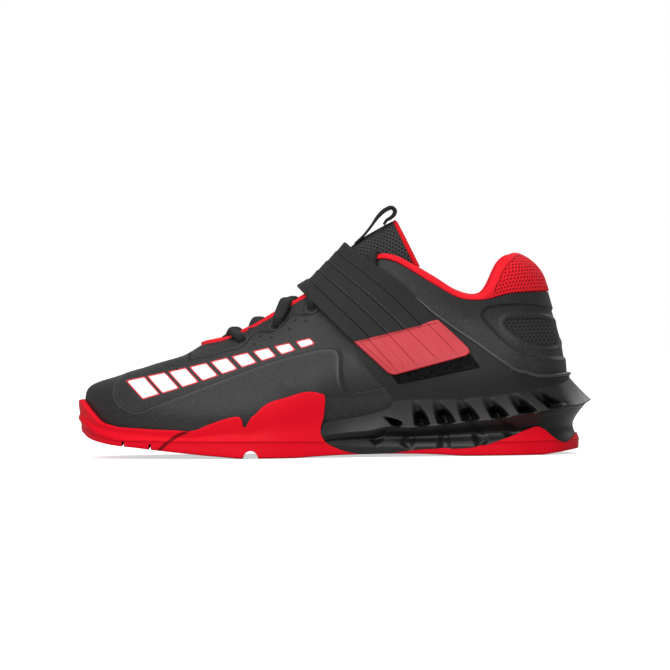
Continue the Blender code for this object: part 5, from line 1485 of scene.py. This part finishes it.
def grown(corners, distance):
    """A closed side view outline moved outwards, or inwards where the distance is negative."""
    ahead = np.roll(corners, -1, axis=0) - np.roll(corners, 1, axis=0)
    ahead /= np.linalg.norm(ahead, axis=1)[:, None]
    after = np.roll(corners, -1, axis=0)
    area = np.sum(corners[:, 0] * after[:, 1] - after[:, 0] * corners[:, 1])
    return corners + np.sign(area) * distance * np.stack([ahead[:, 1], -ahead[:, 0]], axis=1)


def build_bead():
    """Raised bead along the wing's rear edge, from its tip on the outer side round the heel to the inner."""
    rear = smooth_line(outline(FRAME_REAR)[1:], 200)
    first = float(find([rear[2]], -1)[0][0])
    q = np.linspace(first, TURN - first, 460)
    low, high = np.zeros(q.shape), np.ones(q.shape)
    for _ in range(16):
        middle = 0.5 * (low + high)
        here = wall(q, middle)
        over = here[:, 2] > np.interp(here[:, 0], rear[:, 0], rear[:, 1])
        low, high = np.where(over, low, middle), np.where(over, middle, high)
    level = 0.5 * (low + high)
    centre = skin(q, level, GAP + PLATE_THICK)
    ahead = np.gradient(centre, axis=0)
    ahead /= np.linalg.norm(ahead, axis=1)[:, None]
    normal = wall_normal(q, level)
    across = np.cross(ahead, normal)
    across /= np.linalg.norm(across, axis=1)[:, None]
    taper = eased(np.minimum(np.arange(len(q)), np.arange(len(q))[::-1]), 0, 12)
    angle = np.linspace(0, 2 * np.pi, 24, endpoint=False)
    wide = np.sign(np.cos(angle)) * np.abs(np.cos(angle)) ** 0.7 * 0.00095
    tall = np.sin(angle) * 0.00085 + 0.00010 * np.cos(2 * angle)
    size = 0.35 + 0.65 * taper
    rows = (centre + across * (wide[:, None] * size)[..., None] + normal * (tall[:, None] * size)[..., None])
    return grid_piece("wing_bead", rows, BEAD, tall_wrap=True, close=True)


def build_pull():
    """Woven loop at the top of the tongue: a flat section carried along its side view line."""
    line = smooth_line([(LENGTH * x, HEIGHT * z) for x, z in PULL], 90)
    ahead = np.gradient(line, axis=0)
    ahead /= np.linalg.norm(ahead, axis=1)[:, None]
    side = np.stack([-ahead[:, 1], ahead[:, 0]], axis=1)
    angle = np.linspace(0, 2 * np.pi, 40, endpoint=False)
    across = np.sign(np.cos(angle)) * np.abs(np.cos(angle)) ** 0.35 * LOOP_WIDTH / 2
    full = 1.0 + 0.7 * eased(line[:, 1], 1.13 * HEIGHT, 1.21 * HEIGHT)
    out = (np.sign(np.sin(angle)) * np.abs(np.sin(angle)) ** 0.35 * LOOP_THICK / 2)[:, None] * full
    x = line[:, 0] + side[:, 0] * out
    z = line[:, 1] + side[:, 1] * out
    y = np.broadcast_to(across[:, None], x.shape)
    rows = np.stack([x, y, z], axis=-1)
    pull = grid_piece("pull_webbing", rows, LOOP_WEB, tall_wrap=True, sharp=60, close=True)
    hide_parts("pull_loop")
    return pull


def build_insole():
    """Insole cloth: the floor inside the shoe, filled across from the outer side to the inner."""
    count = 240
    q = TURN * np.arange(count) / count
    foot = skin(q, np.full(count, 0.0), -(WALL + 2 * GAP))
    top = height_at(FLOOR, foot[:, 0]) + GAP + INSOLE_THICK
    foot[:, 2] = top
    half = count // 2
    c = np.arange(half + 1)
    outer, inner = foot[c % count], foot[(count - c) % count]
    share = np.linspace(0, 1, 41)[:, None, None]
    rows = outer * (1 - share) + inner * share
    rows[..., 2] = np.minimum(rows[..., 2], top.max()) - 0.0012 * np.sin(np.pi * share[..., 0]) ** 0.7
    insole = grid_piece("insole_top", rows, SOLE_CLOTH)
    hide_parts("insole")
    return insole


TAB_LINES = (
    ((0.5650, 0.5677), (0.6119, 0.4427)), ((0.6002, 0.5994), (0.6530, 0.4614)),
    ((0.6373, 0.6202), (0.6921, 0.4851)), ((0.6764, 0.6488), (0.7292, 0.5088)),
)

build_shell()
build_lining()
build_collar()
build_tongue()
build_tongue_rim()
build_strap()
build_laces()
patch_lift = 2 * GAP + PLATE_THICK
patch = over_wing("patch_pile", outline(PATCH), patch_lift, PATCH_THICK, FUZZ, 0.0010)
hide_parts("loop_patch")
tab = over_wing("tab_moulding", outline(TAB), patch_lift + PATCH_THICK + GAP, TAB_THICK, TAB_SKIN,
                np.array((0.0006, 0.0028, 0.0028, 0.0026, 0.0026, 0.0026, 0.0006)), TAB_LINES, 0.0022)
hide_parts("strap_tab")
build_pull()
build_insole()
build_outsole()
build_heel_frame()


def build_stage():
    """Plain pale floor and a soft studio round it."""
    paint = Paint("studio_floor", {"Roughness": 0.85, "Specular IOR Level": 0.0,
                                   "Emission Strength": 0.60})
    speck = paint.noise(paint.place(), 6.0)
    seen = paint.node("ShaderNodeLightPath", out="Is Camera Ray")
    pale = paint.blend(speck, (0.80, 0.80, 0.80), (0.82, 0.82, 0.82))
    floor_finish = paint.finish({"Base Color": paint.blend(seen, (0.45, 0.45, 0.45), pale),
                                 "Emission Color": paint.blend(seen, (0.0, 0.0, 0.0), (1.0, 1.0, 1.0))})
    x, y = np.meshgrid(np.linspace(-3, 3, 9), np.linspace(-3, 3, 9))
    points = np.stack([x, y, 0 * x - 0.0002], axis=-1)
    floor = make("studio_floor", points.reshape(-1, 3), grid_faces(9, 9), floor_finish, ride=False)
    world = bpy.data.worlds.new("studio_air")
    world.use_nodes = True
    air = world.node_tree
    way = air.nodes.new("ShaderNodeTexCoord")
    split = air.nodes.new("ShaderNodeSeparateXYZ")
    band = air.nodes.new("ShaderNodeMapRange")
    for key, value in (("From Min", 0.0), ("From Max", 1.0), ("To Min", 0.30), ("To Max", 0.34)):
        band.inputs[key].default_value = value
    seen = air.nodes.new("ShaderNodeLightPath")
    plain_part = air.nodes.new("ShaderNodeMix")
    plain_part.inputs[3].default_value = 1.0
    air.links.new(way.outputs["Generated"], split.inputs[0])
    air.links.new(split.outputs[2], band.inputs["Value"])
    air.links.new(seen.outputs["Is Camera Ray"], plain_part.inputs[0])
    air.links.new(band.outputs["Result"], plain_part.inputs[2])
    air.links.new(plain_part.outputs[0], air.nodes["Background"].inputs["Strength"])
    air.nodes["Background"].inputs["Color"].default_value = (1.0, 1.0, 1.0, 1.0)
    bpy.context.scene.world = world
    bpy.context.scene.view_settings.view_transform = "Standard"
    sun = bpy.data.lights.new("key_over", "SUN")
    sun.energy = 1.25
    sun.angle = np.radians(50)
    lights = [("key_over", sun, (-0.10, -0.40, 1.0))]
    for name, place, size, power in (
        ("glow_front", (-0.3, -1.2, 0.40), (1.2, 0.6), 11.0), ("glow_top", (0.0, 0.05, 1.0), (0.9, 0.35), 2.0),
        ("glow_back", (0.4, 0.9, 0.6), (1.0, 0.5), 3.5),
    ):
        lamp = bpy.data.lights.new(name, "AREA")
        lamp.shape = "RECTANGLE"
        lamp.size, lamp.size_y = size
        lamp.energy = power
        lights.append((name, lamp, place))
    for name, lamp, place in lights:
        made = bpy.data.objects.new(name, lamp)
        made.location = place
        way = np.array((0.0, 0.0, 0.05)) - np.array(place)
        level = np.hypot(way[0], way[1])
        made.rotation_euler = (np.arctan2(level, -way[2]), 0.0, np.arctan2(way[1], way[0]) - np.pi / 2)
        bpy.context.scene.collection.objects.link(made)


def build_camera():
    """Camera straight at the outer side, a little above it, rolled as the photograph is."""
    across = 0.5865e-3 * 670
    away = 4.5
    lift = np.radians(1.0)
    roll = -0.0105
    lens = bpy.data.cameras.new("side_view")
    lens.sensor_width = 36.0
    lens.lens = 36.0 * away / across
    lens.clip_end = 20.0
    made = bpy.data.objects.new("side_view", lens)
    aim = np.array((0.0002, -0.004, 0.0706))
    made.location = tuple(aim + away * np.array((0.0, -np.cos(lift), np.sin(lift))))
    tilt = np.pi / 2 - lift
    turn = np.array([[np.cos(roll), -np.sin(roll), 0], [np.sin(roll), np.cos(roll), 0], [0, 0, 1.0]])
    face = np.array([[1, 0, 0], [0, np.cos(tilt), -np.sin(tilt)], [0, np.sin(tilt), np.cos(tilt)]])
    both = face @ turn
    made.rotation_euler = (np.arctan2(both[2, 1], both[2, 2]), -np.arcsin(both[2, 0]), np.arctan2(both[1, 0], both[0, 0]))
    bpy.context.scene.collection.objects.link(made)
    bpy.context.scene.camera = made


build_stage()
build_camera()
